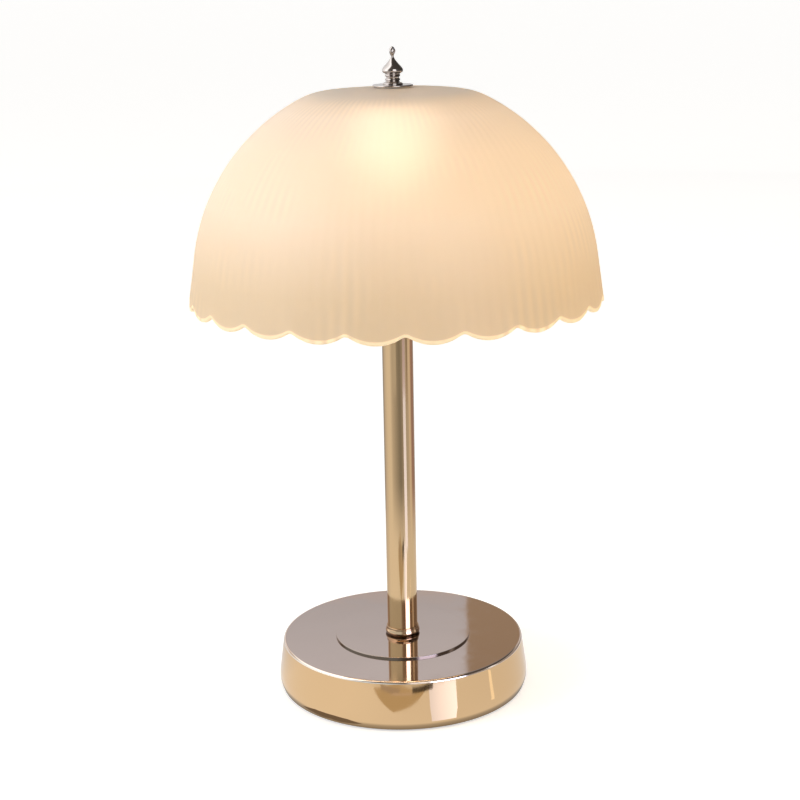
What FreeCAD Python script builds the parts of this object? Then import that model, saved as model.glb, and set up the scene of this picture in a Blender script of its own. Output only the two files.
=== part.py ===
"""Mushroom table lamp with a scalloped glass shade, a harp and a turned finial. Millimetres."""
import FreeCAD, Part
import math
import os
import re

import Sketcher

V = FreeCAD.Vector
doc = FreeCAD.newDocument("MushroomLamp")

# Driving sizes: the name, the value in millimetres or degrees, and what it is
SIZES = [
    ("pad_gap", 4.2, "room between the base pad and the cover's lower lip"),
    ("pad_t", 2.0, "base pad thickness"),
    ("plate_t", 1.2, "closing plate thickness"),
    ("base_z", 31.3, "height of the base's flat top"),
    ("flare_r", 79.1, "base radius at its widest"),
    ("flare_z", 9.0, "height of the widest place"),
    ("top_in", 2.9, "how far the base's top edge is drawn in from its widest"),
    ("edge_r", 1.6, "rounding of the base's top edge"),
    ("belly_in", 0.2, "how far the base is drawn in halfway down the foot's curve"),
    ("belly_z", 4.8, "height halfway down the foot's curve"),
    ("foot_in", 1.7, "how far the base's lower lip is drawn in from its widest"),
    ("foot_z", 0.9, "height of the lower lip"),
    ("cover_t", 1.2, "base cover sheet thickness"),
    ("weight_gap", 4.0, "room between the weight and the cover's side"),
    ("weight_t", 15.0, "weight thickness"),
    ("boss_r", 5.5, "radius of the weight's bosses"),
    ("boss_ring", 52.0, "distance of the bosses from the axis"),
    ("bosses", 3, "number of bosses and screws"),
    ("screw_r", 2.0, "closing screw radius"),
    ("screw_head_r", 3.6, "closing screw head radius"),
    ("screw_head_t", 1.4, "closing screw head height"),
    ("screw_room", 0.6, "room round a closing screw's head in the pad"),
    ("screw_depth", 7.0, "closing screw's length in the boss"),
    ("tap_room", 1.0, "depth of the tapped hole over the closing screw's end"),
    ("gland_z", 13.0, "height of the cord inlet"),
    ("gland_r", 4.5, "radius of the hole for the cord inlet"),
    ("gland_bore", 3.0, "radius of the cord inlet's bore"),
    ("gland_lip", 1.6, "how far the inlet's lips reach past the hole"),
    ("gland_ease", 0.15, "clearance of the inlet's lips from the sloping wall"),
    ("gland_lip_t", 1.6, "thickness of the inlet's lips"),
    ("rod_r", 4.9, "threaded rod radius"),
    ("rod_bore", 3.4, "threaded rod bore radius"),
    ("rod_low", 6.5, "height of the rod's lower end"),
    ("rod_reach", 4.0, "the rod's length inside the lampholder cap"),
    ("nut_af", 17.0, "nut width across flats"),
    ("nut_t", 4.0, "nut thickness"),
    ("washer_r", 14.0, "clamping washer radius"),
    ("washer_t", 1.8, "clamping washer thickness"),
    ("fit", 0.1, "radial clearance of pieces that slip together"),
    ("run", 0.05, "radial clearance of pieces that turn or slide"),
    ("disc_r", 42.7, "raised disc radius"),
    ("disc_t", 1.2, "raised disc thickness"),
    ("disc_edge", 0.4, "raised disc's bevelled edge"),
    ("collar_out", 1.5, "how far the stem collar's lip stands out from the stem"),
    ("collar_lip_z", 1.9, "height of the collar's lip"),
    ("collar_neck", 0.8, "how far the collar's foot and waist are drawn in"),
    ("collar_z", 5.0, "stem collar height"),
    ("stem_r", 9.5, "stem radius"),
    ("stem_wall", 1.0, "stem wall thickness"),
    ("stem_z", 220.0, "stem length"),
    ("cap_wall", 1.5, "stem cap wall"),
    ("cap_skirt", 6.0, "stem cap skirt length"),
    ("cap_top", 2.0, "stem cap top thickness"),
    ("cap_bevel", 1.0, "stem cap bevel"),
    ("saddle_t", 1.5, "saddle strip thickness"),
    ("saddle_w", 12.0, "saddle strip width"),
    ("saddle_bend", 3.0, "saddle bend radius, outside"),
    ("tongue_w", 6.0, "width of the saddle's tongues and of the harp's strip"),
    ("tongue_z", 14.0, "height of the tongues over the saddle's underside"),
    ("lock_t", 3.0, "lock nut thickness"),
    ("leg_x", 27.0, "distance of a harp foot from the axis"),
    ("leg_z", 22.0, "length of the harp's straight leg"),
    ("leg_curve", 24.0, "curve from the leg to the flared side"),
    ("bow_x", 49.0, "half width of the harp at its widest"),
    ("bow_rise", 30.0, "height from the legs' ends to the widest place"),
    ("bow_curve", 34.0, "curve at the widest place"),
    ("crown_x", 42.0, "half width of the harp's top corners"),
    ("crown_bend", 24.0, "curve of the harp's top corners"),
    ("bow_gap", 5.75, "height of the harp's top over the lamp"),
    ("rivet_r", 2.6, "radius of the stud's rivet head under the strip"),
    ("rivet_t", 1.2, "height of the stud's rivet head"),
    ("tenon_r", 1.6, "radius of the stud where it passes through the strip"),
    ("flange_r", 9.0, "stud flange radius"),
    ("flange_t", 1.2, "stud flange thickness"),
    ("stud_r", 3.0, "stud radius"),
    ("stud_reach", 8.2, "the stud's length inside the finial"),
    ("sleeve_z", 12.0, "harp sleeve length"),
    ("sleeve_wall", 0.8, "harp sleeve wall"),
    ("holder_r", 17.0, "lampholder shell radius"),
    ("holder_wall", 0.8, "lampholder shell wall"),
    ("holder_z", 48.2, "lampholder shell length"),
    ("holder_bead", 0.8, "rolled bead at the lampholder's mouth"),
    ("hub_r", 7.5, "lampholder cap hub radius"),
    ("hub_z", 4.0, "lampholder cap hub height"),
    ("cap_z", 12.0, "lampholder cap height over its hub"),
    ("cap_corner", 2.5, "lampholder cap's bevelled corner"),
    ("key_z", 15.2, "height of the switch key over the shell's lower end"),
    ("switch_z", 21.7, "switch body height"),
    ("grub_r", 1.5, "grub screw radius"),
    ("contact_r", 5.0, "centre contact radius"),
    ("contact_t", 1.0, "centre contact thickness"),
    ("terminals", 2, "number of terminal screws"),
    ("terminal_r", 1.8, "terminal screw head radius"),
    ("terminal_x", 9.5, "distance of the terminal screws from the axis"),
    ("screw_shell_t", 0.4, "screw shell sheet thickness"),
    ("screw_shell_low", 4.0, "how far the screw shell ends under the lampholder's mouth"),
    ("lamp_cap_r", 13.0, "lamp cap radius"),
    ("lamp_cap_z", 20.0, "lamp cap length"),
    ("lamp_cap_t", 0.4, "lamp cap sheet thickness"),
    ("lamp_gap", 0.3, "radial room between the lamp cap and the screw shell"),
    ("lamp_tip_r", 4.5, "lamp contact radius"),
    ("lamp_tip_t", 1.2, "lamp contact thickness"),
    ("glaze_t", 2.8, "height of the lamp's insulator"),
    ("globe_r", 22.5, "lamp globe radius"),
    ("glass_t", 1.0, "lamp glass thickness"),
    ("neck_z", 7.0, "how far the lamp's neck reaches into its cap"),
    ("lamp_z", 78.0, "lamp length"),
    ("shaft_r", 2.0, "switch key shaft radius"),
    ("key_hole_r", 3.0, "radius of the shell's hole for the key"),
    ("shaft_depth", 9.0, "length of the key's shaft inside the switch body"),
    ("shaft_out", 6.0, "length of the key's shaft outside the lampholder"),
    ("knob_r", 5.0, "switch key knob radius"),
    ("knob_z", 13.0, "switch key knob length"),
    ("knob_flat", 2.6, "half thickness of the knob's flat grip"),
    ("knob_neck", 3.0, "length of the knob's round neck"),
    ("knob_bevel", 1.0, "bevel at the knob's neck"),
    ("shade_t", 3.0, "shade glass thickness"),
    ("seat_r", 14.0, "radius of the ground seat at the crown"),
    ("hole_gap", 0.5, "room between the stud and the glass"),
    ("crown_slope", 4.0, "slope of the crown, degrees"),
    ("shoulder_mid", 38.8, "radius of the circle of the shoulder's centres"),
    ("shoulder_curve", 37.0, "curve of the shoulder"),
    ("shoulder_slope", 27.0, "slope where the shoulder meets the side, degrees"),
    ("rim_slope", 82.0, "slope of the flank above the rim, degrees"),
    ("flank_z", 29.6, "height of the straight flank"),
    ("lobes", 24, "number of scallops"),
    ("lobe_depth", 5.7, "depth of the scallops"),
    ("lobe_land", 0.8, "half width of the flat land at a scallop's bottom"),
    ("lobe_dip", 0.05, "how far a scallop's arc would reach under the rim"),
    ("cusp_r", 2.0, "rounding between two scallops"),
    ("lobe_turn", 2.0, "turn of the scallops from the front, degrees"),
    ("gasket_low_t", 1.0, "lower gasket thickness"),
    ("gasket_top_t", 0.8, "upper gasket thickness"),
    ("gasket_r", 10.5, "upper gasket radius"),
    ("plate_top_r", 12.0, "shade washer radius"),
    ("plate_top_t", 1.0, "shade washer thickness"),
    ("finial_r", 6.3, "finial radius at its bulge"),
    ("finial_z", 22.0, "finial height"),
    ("finial_room", 0.8, "room over the stud's end in the finial"),
]

sheet = doc.addObject("Spreadsheet::Sheet", "Sizes")
for row, (alias, value, words) in enumerate(SIZES, start=1):
    sheet.set(f"A{row}", words)
    sheet.set(f"B{row}", str(value))
    sheet.setAlias(f"B{row}", alias)
doc.recompute()
ALIASES = {alias for alias, value, words in SIZES}


def bound(formula):
    """The formula with the sheet's name before each alias."""
    return re.sub(r"[a-z][a-z_]*", lambda m: f"Sizes.{m[0]}" if m[0] in ALIASES else m[0], str(formula))


def number(formula):
    """What the formula gives now."""
    return float(sheet.evalExpression(bound(formula)))


def plus(*terms):
    """The sum of some formulas."""
    return " + ".join(f"({term})" for term in terms)


# Heights of the faces that pieces stand on, from the surface upwards
PLATE_TOP = plus("pad_t", "plate_t")
WEIGHT_TOP = "base_z - cover_t"
WEIGHT_LOW = f"{WEIGHT_TOP} - weight_t"
NUT_TOP = f"{WEIGHT_LOW} - washer_t"
DISC_TOP = plus("base_z", "disc_t")
STEM_TOP = plus(DISC_TOP, "stem_z")
SADDLE_LOW = plus(STEM_TOP, "cap_top")
LOCK_LOW = plus(SADDLE_LOW, "saddle_t")
HOLDER_LOW = plus(LOCK_LOW, "lock_t")
CAP_LOW = plus(HOLDER_LOW, "hub_z")
CAP_FLOOR = plus(CAP_LOW, "holder_wall")
CAP_TOP = plus(CAP_LOW, "cap_z")
SHELL_TOP = plus(CAP_FLOOR, "holder_z")
KEY_Z = plus(CAP_FLOOR, "key_z")
SWITCH_TOP = plus(CAP_FLOOR, "switch_z")
LAMP_LOW = plus(SWITCH_TOP, "contact_t")
LAMP_CAP_LOW = plus(LAMP_LOW, "lamp_tip_t")
LAMP_CAP_TOP = plus(LAMP_CAP_LOW, "lamp_cap_z")
LAMP_TOP = plus(LAMP_LOW, "lamp_z")
TONGUE_TOP = plus(SADDLE_LOW, "tongue_z")
SWITCH_R = "(holder_r - holder_wall - fit)"
SWITCH_FOOT = f"({SWITCH_R} - cap_corner)"
ROD_HOLE = "(rod_r + fit)"
TOP_R = "(flare_r - top_in)"
FOOT_INSIDE = "(flare_r - foot_in - cover_t)"
COLLAR_R = "(stem_r + collar_out)"

# The harp's top clears the lamp; the shade hangs on its stud
BOW_TOP = plus(LAMP_TOP, "bow_gap")
STRIP_LOW = f"{BOW_TOP} - saddle_t / 2"
FLANGE_LOW = plus(BOW_TOP, "saddle_t / 2")
FLANGE_TOP = plus(FLANGE_LOW, "flange_t")
SEAT_LOW = plus(FLANGE_TOP, "gasket_low_t")
SEAT_TOP = plus(SEAT_LOW, "shade_t")
WASHER_LOW = plus(SEAT_TOP, "gasket_top_t")
FINIAL_LOW = plus(WASHER_LOW, "plate_top_t")
STUD_TOP = plus(FINIAL_LOW, "stud_reach")
BORE_TOP = plus(STUD_TOP, "finial_room")


def origin_item(body, role):
    """One of the body's own origin planes or axes."""
    return [item for item in body.Origin.OriginFeatures if item.Role == role][0]


def arc_between(start, end, radius):
    """The arc from start to end that turns left for a positive radius and right for a negative one."""
    chord = end - start
    half = chord.Length / 2
    lift = math.sqrt(max(radius * radius - half * half, 0)) * math.copysign(1, radius)
    centre = (start + end) / 2 + V(-chord.y, chord.x, 0) / (2 * half) * lift
    first, last = (start, end) if radius > 0 else (end, start)
    angles = [math.atan2(p.y - centre.y, p.x - centre.x) for p in (first, last)]
    if angles[1] < angles[0]:
        angles[1] += 2 * math.pi
    return Part.ArcOfCircle(Part.Circle(centre, V(0, 0, 1), abs(radius)), *angles)


def bind(sketch, kind, formula, *places):
    """A dimension of the sketch that follows its formula."""
    index = sketch.addConstraint(Sketcher.Constraint(kind, *places, number(formula)))
    name = f"{kind}{index}"
    sketch.renameConstraint(index, name)
    sketch.setExpression(f"Constraints.{name}", bound(formula))


def new_sketch(body, role):
    """An empty sketch on one of the body's origin planes."""
    sketch = body.newObject("Sketcher::SketchObject", f"{body.Name}Sketch")
    sketch.AttachmentSupport = [(origin_item(body, role), "")]
    sketch.MapMode = "FlatFace"
    return sketch


def outline(body, corners, role="XZ_Plane"):
    """A closed outline. A corner is two coordinates and, before an arc, its radius and "left" or "right"."""
    sketch = new_sketch(body, role)
    points = [V(number(corner[0]), number(corner[1]), 0) for corner in corners]
    starts, ends = [], []
    for index, corner in enumerate(corners):
        start, end = points[index], points[(index + 1) % len(points)]
        turns_right = len(corner) > 2 and corner[3] == "right"
        if len(corner) == 2:
            sketch.addGeometry(Part.LineSegment(start, end))
        else:
            radius = number(corner[2]) * (-1 if turns_right else 1)
            sketch.addGeometry(arc_between(start, end, radius))
        starts.append(2 if turns_right else 1)
        ends.append(1 if turns_right else 2)
    for index, corner in enumerate(corners):
        before = (index - 1) % len(corners)
        sketch.addConstraint(Sketcher.Constraint("Coincident", before, ends[before], index, starts[index]))
        bind(sketch, "DistanceX", corner[0], -1, 1, index, starts[index])
        bind(sketch, "DistanceY", corner[1], -1, 1, index, starts[index])
        if len(corner) > 2:
            bind(sketch, "Radius", corner[2], index)
    return sketch


def circle(body, x, y, radius, role="XY_Plane"):
    """A sketch of one circle."""
    sketch = new_sketch(body, role)
    sketch.addGeometry(Part.Circle(V(number(x), number(y), 0), V(0, 0, 1), number(radius)))
    bind(sketch, "DistanceX", x, -1, 1, 0, 3)
    bind(sketch, "DistanceY", y, -1, 1, 0, 3)
    bind(sketch, "Radius", radius, 0)
    return sketch


def new_body(label):
    """An empty body that may hold several solids."""
    body = doc.addObject("PartDesign::Body", label)
    body.Label = label
    body.AllowCompound = True
    return body


def turned(label, corners):
    """A body turned about Z from its half outline."""
    body = new_body(label)
    feature = body.newObject("PartDesign::Revolution", f"{label}Turned")
    feature.Profile = outline(body, corners)
    feature.ReferenceAxis = (feature.Profile[0], ["V_Axis"])
    feature.Angle = 360
    return body


def ring(label, inner, outer, low, high):
    """A plain turned ring."""
    return turned(label, [(inner, low), (outer, low), (outer, high), (inner, high)])


def pad(body, sketch, low, high):
    """Adds the sketch's shape from one height to another. The sketch lies on the XY plane."""
    sketch.setExpression("AttachmentOffset.Base.z", bound(low))
    feature = body.newObject("PartDesign::Pad", f"{body.Name}Pad")
    feature.Profile = sketch
    feature.setExpression("Length", bound(f"{high} - ({low})"))
    return feature


def pocket(body, sketch, reverse=False):
    """Cuts the sketch's shape through all that lies on one side of its plane."""
    feature = body.newObject("PartDesign::Pocket", f"{body.Name}Pocket")
    feature.Profile = sketch
    feature.Type = "ThroughAll"
    feature.Reversed = reverse
    return feature


def around(body, features, count):
    """Repeats features evenly about Z."""
    pattern = body.newObject("PartDesign::PolarPattern", f"{body.Name}Pattern")
    pattern.Originals = features
    pattern.Axis = (origin_item(body, "Z_Axis"), [""])
    pattern.Angle = 360
    pattern.setExpression("Occurrences", bound(count))
    body.Tip = pattern
    return pattern


def place(body, x="0", y="0", z="0", axis=None, degrees="0"):
    """Binds a body's place, and its turn about an axis where it has one."""
    if axis is not None:
        body.Placement = FreeCAD.Placement(V(), FreeCAD.Rotation(axis, 0))
        body.setExpression("Placement.Rotation.Angle", bound(degrees))
    for name, formula in (("x", x), ("y", y), ("z", z)):
        body.setExpression(f"Placement.Base.{name}", bound(formula))


def make_base():
    """Pad, closing plate, screws, weight, cover and cord inlet."""
    edge = f"{FOOT_INSIDE} - pad_gap"
    pad_body = turned("base_pad", [("0", "0"), (edge, "0"), (edge, "pad_t"), ("0", "pad_t")])
    well = circle(pad_body, "0", "-boss_ring", "screw_head_r + screw_room")
    around(pad_body, [pocket(pad_body, well, True)], "bosses")

    rim = f"{FOOT_INSIDE} - 3 * fit"
    plate = turned("base_plate", [("0", "pad_t"), (rim, "pad_t"), (rim, PLATE_TOP), ("0", PLATE_TOP)])
    around(plate, [pocket(plate, circle(plate, "0", "-boss_ring", "screw_r + fit"), True)], "bosses")

    screws = new_body("plate_screws")
    head = pad(screws, circle(screws, "0", "-boss_ring", "screw_head_r"), "pad_t - screw_head_t", "pad_t")
    shank = pad(screws, circle(screws, "0", "-boss_ring", "screw_r"), "pad_t", plus(PLATE_TOP, "screw_depth"))
    around(screws, [head, shank], "bosses")

    weight = ring("base_weight", ROD_HOLE, f"{TOP_R} - cover_t - weight_gap", WEIGHT_LOW, WEIGHT_TOP)
    boss = pad(weight, circle(weight, "0", "-boss_ring", "boss_r"), PLATE_TOP, WEIGHT_LOW)
    hole = circle(weight, "0", "-boss_ring", "screw_r + fit")
    hole.setExpression("AttachmentOffset.Base.z", bound(plus(PLATE_TOP, "screw_depth", "tap_room")))
    tapped = pocket(weight, hole)
    around(weight, [boss, tapped], "bosses")

    # The cover's top edge is rounded in two steps, and its foot swells and draws in again
    soft = "edge_r * (1 - cos(45))"
    cover = turned("base_cover", [
        (ROD_HOLE, WEIGHT_TOP),
        (f"{TOP_R} - cover_t", WEIGHT_TOP),
        ("flare_r - cover_t", "flare_z"),
        (FOOT_INSIDE, "foot_z"),
        ("flare_r - foot_in", "foot_z"),
        ("flare_r - belly_in", "belly_z"),
        ("flare_r", "flare_z"),
        (TOP_R, "base_z - edge_r"),
        (f"{TOP_R} - {soft}", f"base_z - {soft}"),
        (f"{TOP_R} - edge_r", "base_z"),
        (ROD_HOLE, "base_z"),
    ])
    pocket(cover, circle(cover, "0", "gland_z", "gland_r", "XZ_Plane"))

    # The inlet is turned about its own axis and then laid along Y through the cover's back. Its outer
    # lip clears the widest place, and its inner lip clears the wall where that comes furthest in
    lip = "(gland_r + gland_lip)"
    slope = f"top_in / ({WEIGHT_TOP} - flare_z)"
    wall_r = f"(flare_r - cover_t - (gland_z + {lip} - flare_z) * {slope})"
    outer = "(flare_r + gland_ease)"
    inner = f"(sqrt({wall_r}^2 - {lip}^2) - gland_ease)"
    gland = turned("cord_grommet", [
        ("gland_bore", f"{inner} - gland_lip_t"),
        (lip, f"{inner} - gland_lip_t"),
        (lip, inner),
        ("gland_r - fit", inner),
        ("gland_r - fit", outer),
        (lip, outer),
        ("gland_r", f"{outer} + gland_lip_t"),
        ("gland_bore", f"{outer} + gland_lip_t"),
    ])
    place(gland, z="gland_z", axis=V(-1, 0, 0), degrees="90")


def hex_nut(label, low, high):
    """A hexagon nut on the rod."""
    body = new_body(label)
    sketch = new_sketch(body, "XY_Plane")
    across = number("nut_af / sqrt(3)")
    corners = [V(across * math.cos(k * math.pi / 3), across * math.sin(k * math.pi / 3), 0) for k in range(6)]
    for index in range(6):
        sketch.addGeometry(Part.LineSegment(corners[index], corners[(index + 1) % 6]))
    for index in range(6):
        sketch.addConstraint(Sketcher.Constraint("Coincident", index, 2, (index + 1) % 6, 1))
        bind(sketch, "DistanceX", f"nut_af / sqrt(3) * cos({index * 60})", -1, 1, index, 1)
        bind(sketch, "DistanceY", f"nut_af / sqrt(3) * sin({index * 60})", -1, 1, index, 1)
    pad(body, sketch, low, high)
    bore = circle(body, "0", "0", ROD_HOLE)
    pocket(body, bore, True)
    return body


def make_stand():
    """The rod and all that it clamps, from the base up to the lampholder."""
    ring("centre_rod", "rod_bore", "rod_r", "rod_low", plus(HOLDER_LOW, "rod_reach"))
    hex_nut("rod_nut", f"{NUT_TOP} - nut_t", NUT_TOP)
    ring("rod_washer", ROD_HOLE, "washer_r", NUT_TOP, WEIGHT_LOW)
    turned("centre_disc", [
        (ROD_HOLE, "base_z"),
        ("disc_r", "base_z"),
        ("disc_r", f"{DISC_TOP} - disc_edge"),
        ("disc_r - disc_edge", DISC_TOP),
        (ROD_HOLE, DISC_TOP),
    ])
    neck = f"{COLLAR_R} - collar_neck"
    turned("stem_collar", [
        ("stem_r + fit", DISC_TOP),
        (neck, DISC_TOP),
        (COLLAR_R, plus(DISC_TOP, "collar_lip_z")),
        (neck, plus(DISC_TOP, "2 * collar_lip_z")),
        (neck, plus(DISC_TOP, "collar_z")),
        ("stem_r + fit", plus(DISC_TOP, "collar_z")),
    ])
    ring("stem_tube", "stem_r - stem_wall", "stem_r", DISC_TOP, STEM_TOP)
    turned("stem_cap", [
        (ROD_HOLE, STEM_TOP),
        ("stem_r + fit", STEM_TOP),
        ("stem_r + fit", f"{STEM_TOP} - cap_skirt"),
        ("stem_r + fit + cap_wall", f"{STEM_TOP} - cap_skirt"),
        ("stem_r + fit + cap_wall", f"{SADDLE_LOW} - cap_bevel"),
        ("stem_r + fit + cap_wall - cap_bevel", SADDLE_LOW),
        (ROD_HOLE, SADDLE_LOW),
    ])
    hex_nut("lock_nut", LOCK_LOW, HOLDER_LOW)


def make_harp():
    """The saddle, the bow on it, the bow's stud and the two sleeves that lock its feet."""
    half = "saddle_t / 2"
    outside, inside = f"leg_x + {half}", f"leg_x - {half}"
    saddle = new_body("harp_saddle")
    strap = outline(saddle, [
        (f"-({outside}) + saddle_bend", SADDLE_LOW),
        (f"{outside} - saddle_bend", SADDLE_LOW, "saddle_bend", "left"),
        (outside, plus(SADDLE_LOW, "saddle_bend")),
        (inside, plus(SADDLE_LOW, "saddle_bend"), "saddle_bend - saddle_t", "right"),
        (f"{outside} - saddle_bend", LOCK_LOW),
        (f"-({outside}) + saddle_bend", LOCK_LOW, "saddle_bend - saddle_t", "right"),
        (f"-({inside})", plus(SADDLE_LOW, "saddle_bend")),
        (f"-({outside})", plus(SADDLE_LOW, "saddle_bend"), "saddle_bend", "left"),
    ], "XZ_Plane")
    feature = saddle.newObject("PartDesign::Pad", "SaddleStrap")
    feature.Profile = strap
    feature.Midplane = True
    feature.setExpression("Length", bound("saddle_w"))
    for side in ("", "-"):
        tongue = outline(saddle, [
            (f"{side}({inside})", plus(SADDLE_LOW, "saddle_bend")),
            (f"{side}({outside})", plus(SADDLE_LOW, "saddle_bend")),
            (f"{side}({outside})", TONGUE_TOP),
            (f"{side}({inside})", TONGUE_TOP),
        ], "XZ_Plane")
        feature = saddle.newObject("PartDesign::Pad", "SaddleTongue")
        feature.Profile = tongue
        feature.Midplane = True
        feature.setExpression("Length", bound("tongue_w"))
    pocket(saddle, circle(saddle, "0", "0", ROD_HOLE), True)

    harp = new_body("harp")
    spine = harp_spine(harp)
    section = outline(harp, [
        (inside, "-tongue_w / 2"),
        (outside, "-tongue_w / 2"),
        (outside, "tongue_w / 2"),
        (inside, "tongue_w / 2"),
    ], "XY_Plane")
    section.setExpression("AttachmentOffset.Base.z", bound(TONGUE_TOP))
    half_bow = harp.newObject("PartDesign::AdditivePipe", "HarpHalf")
    half_bow.Profile = section
    half_bow.Spine = spine
    half_bow.SpineTangent = False
    mirror = harp.newObject("PartDesign::Mirrored", "HarpMirror")
    mirror.Originals = [half_bow]
    mirror.MirrorPlane = (origin_item(harp, "YZ_Plane"), [""])
    harp.Tip = mirror
    pocket(harp, circle(harp, "0", "0", "tenon_r + run"), True)

    turned("harp_stud", [
        ("0", f"{STRIP_LOW} - rivet_t"),
        ("rivet_r", f"{STRIP_LOW} - rivet_t"),
        ("rivet_r", STRIP_LOW),
        ("tenon_r", STRIP_LOW),
        ("tenon_r", FLANGE_LOW),
        ("flange_r", FLANGE_LOW),
        ("flange_r", FLANGE_TOP),
        ("stud_r", FLANGE_TOP),
        ("stud_r", STUD_TOP),
        ("0", STUD_TOP),
    ])

    # A sleeve covers the joint of a tongue and a leg, and slides up the leg
    reach = "sqrt(tongue_w^2 + saddle_t^2) / 2 + run"
    for side, label in (("-", "harp_sleeve_left"), ("", "harp_sleeve_right")):
        low = f"{TONGUE_TOP} - sleeve_z / 2"
        sleeve = ring(label, reach, f"{reach} + sleeve_wall", low, f"{TONGUE_TOP} + sleeve_z / 2")
        place(sleeve, x=f"{side}leg_x")


def harp_spine(body):
    """Half of the bow's middle line, from a foot up to the axis: straight runs joined by tangent arcs."""
    sketch = new_sketch(body, "XZ_Plane")
    corners = [
        ("leg_x", TONGUE_TOP),
        ("leg_x", plus(TONGUE_TOP, "leg_z")),
        ("bow_x", plus(TONGUE_TOP, "leg_z", "bow_rise")),
        ("crown_x", BOW_TOP),
        ("0", BOW_TOP),
    ]
    curves = ["leg_curve", "bow_curve", "crown_bend"]
    points = [V(number(x), number(z), 0) for x, z in corners]
    ways = [(points[k + 1] - points[k]).normalize() for k in range(4)]
    cuts = []
    for k, curve in enumerate(curves):
        turn = ways[k].getAngle(ways[k + 1])
        cuts.append(number(curve) * math.tan(turn / 2))
    begins = [points[0]] + [points[k + 1] + ways[k + 1] * cuts[k] for k in range(3)]
    stops = [points[k + 1] - ways[k] * cuts[k] for k in range(3)] + [points[4]]
    for k in range(4):
        sketch.addGeometry(Part.LineSegment(begins[k], stops[k]))
    for k, curve in enumerate(curves):
        bends_left = ways[k].cross(ways[k + 1]).z > 0
        radius = number(curve) * (1 if bends_left else -1)
        sketch.addGeometry(arc_between(stops[k], begins[k + 1], radius))
        first, last = (1, 2) if bends_left else (2, 1)
        sketch.addConstraint(Sketcher.Constraint("Tangent", k, 2, 4 + k, first))
        sketch.addConstraint(Sketcher.Constraint("Tangent", 4 + k, last, k + 1, 1))
        bind(sketch, "Radius", curve, 4 + k)
    # The corners that the arcs cut off are points where two straight runs would meet
    for k, (x, z) in enumerate(corners):
        if 0 < k < 4:
            spot = sketch.addGeometry(Part.Point(points[k]), True)
            bind(sketch, "DistanceX", x, -1, 1, spot, 1)
            bind(sketch, "DistanceY", z, -1, 1, spot, 1)
            sketch.addConstraint(Sketcher.Constraint("PointOnObject", spot, 1, k - 1))
            sketch.addConstraint(Sketcher.Constraint("PointOnObject", spot, 1, k))
    for line, end, (x, z) in ((0, 1, corners[0]), (3, 2, corners[4])):
        bind(sketch, "DistanceX", x, -1, 1, line, end)
        bind(sketch, "DistanceY", z, -1, 1, line, end)
    return sketch


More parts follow.
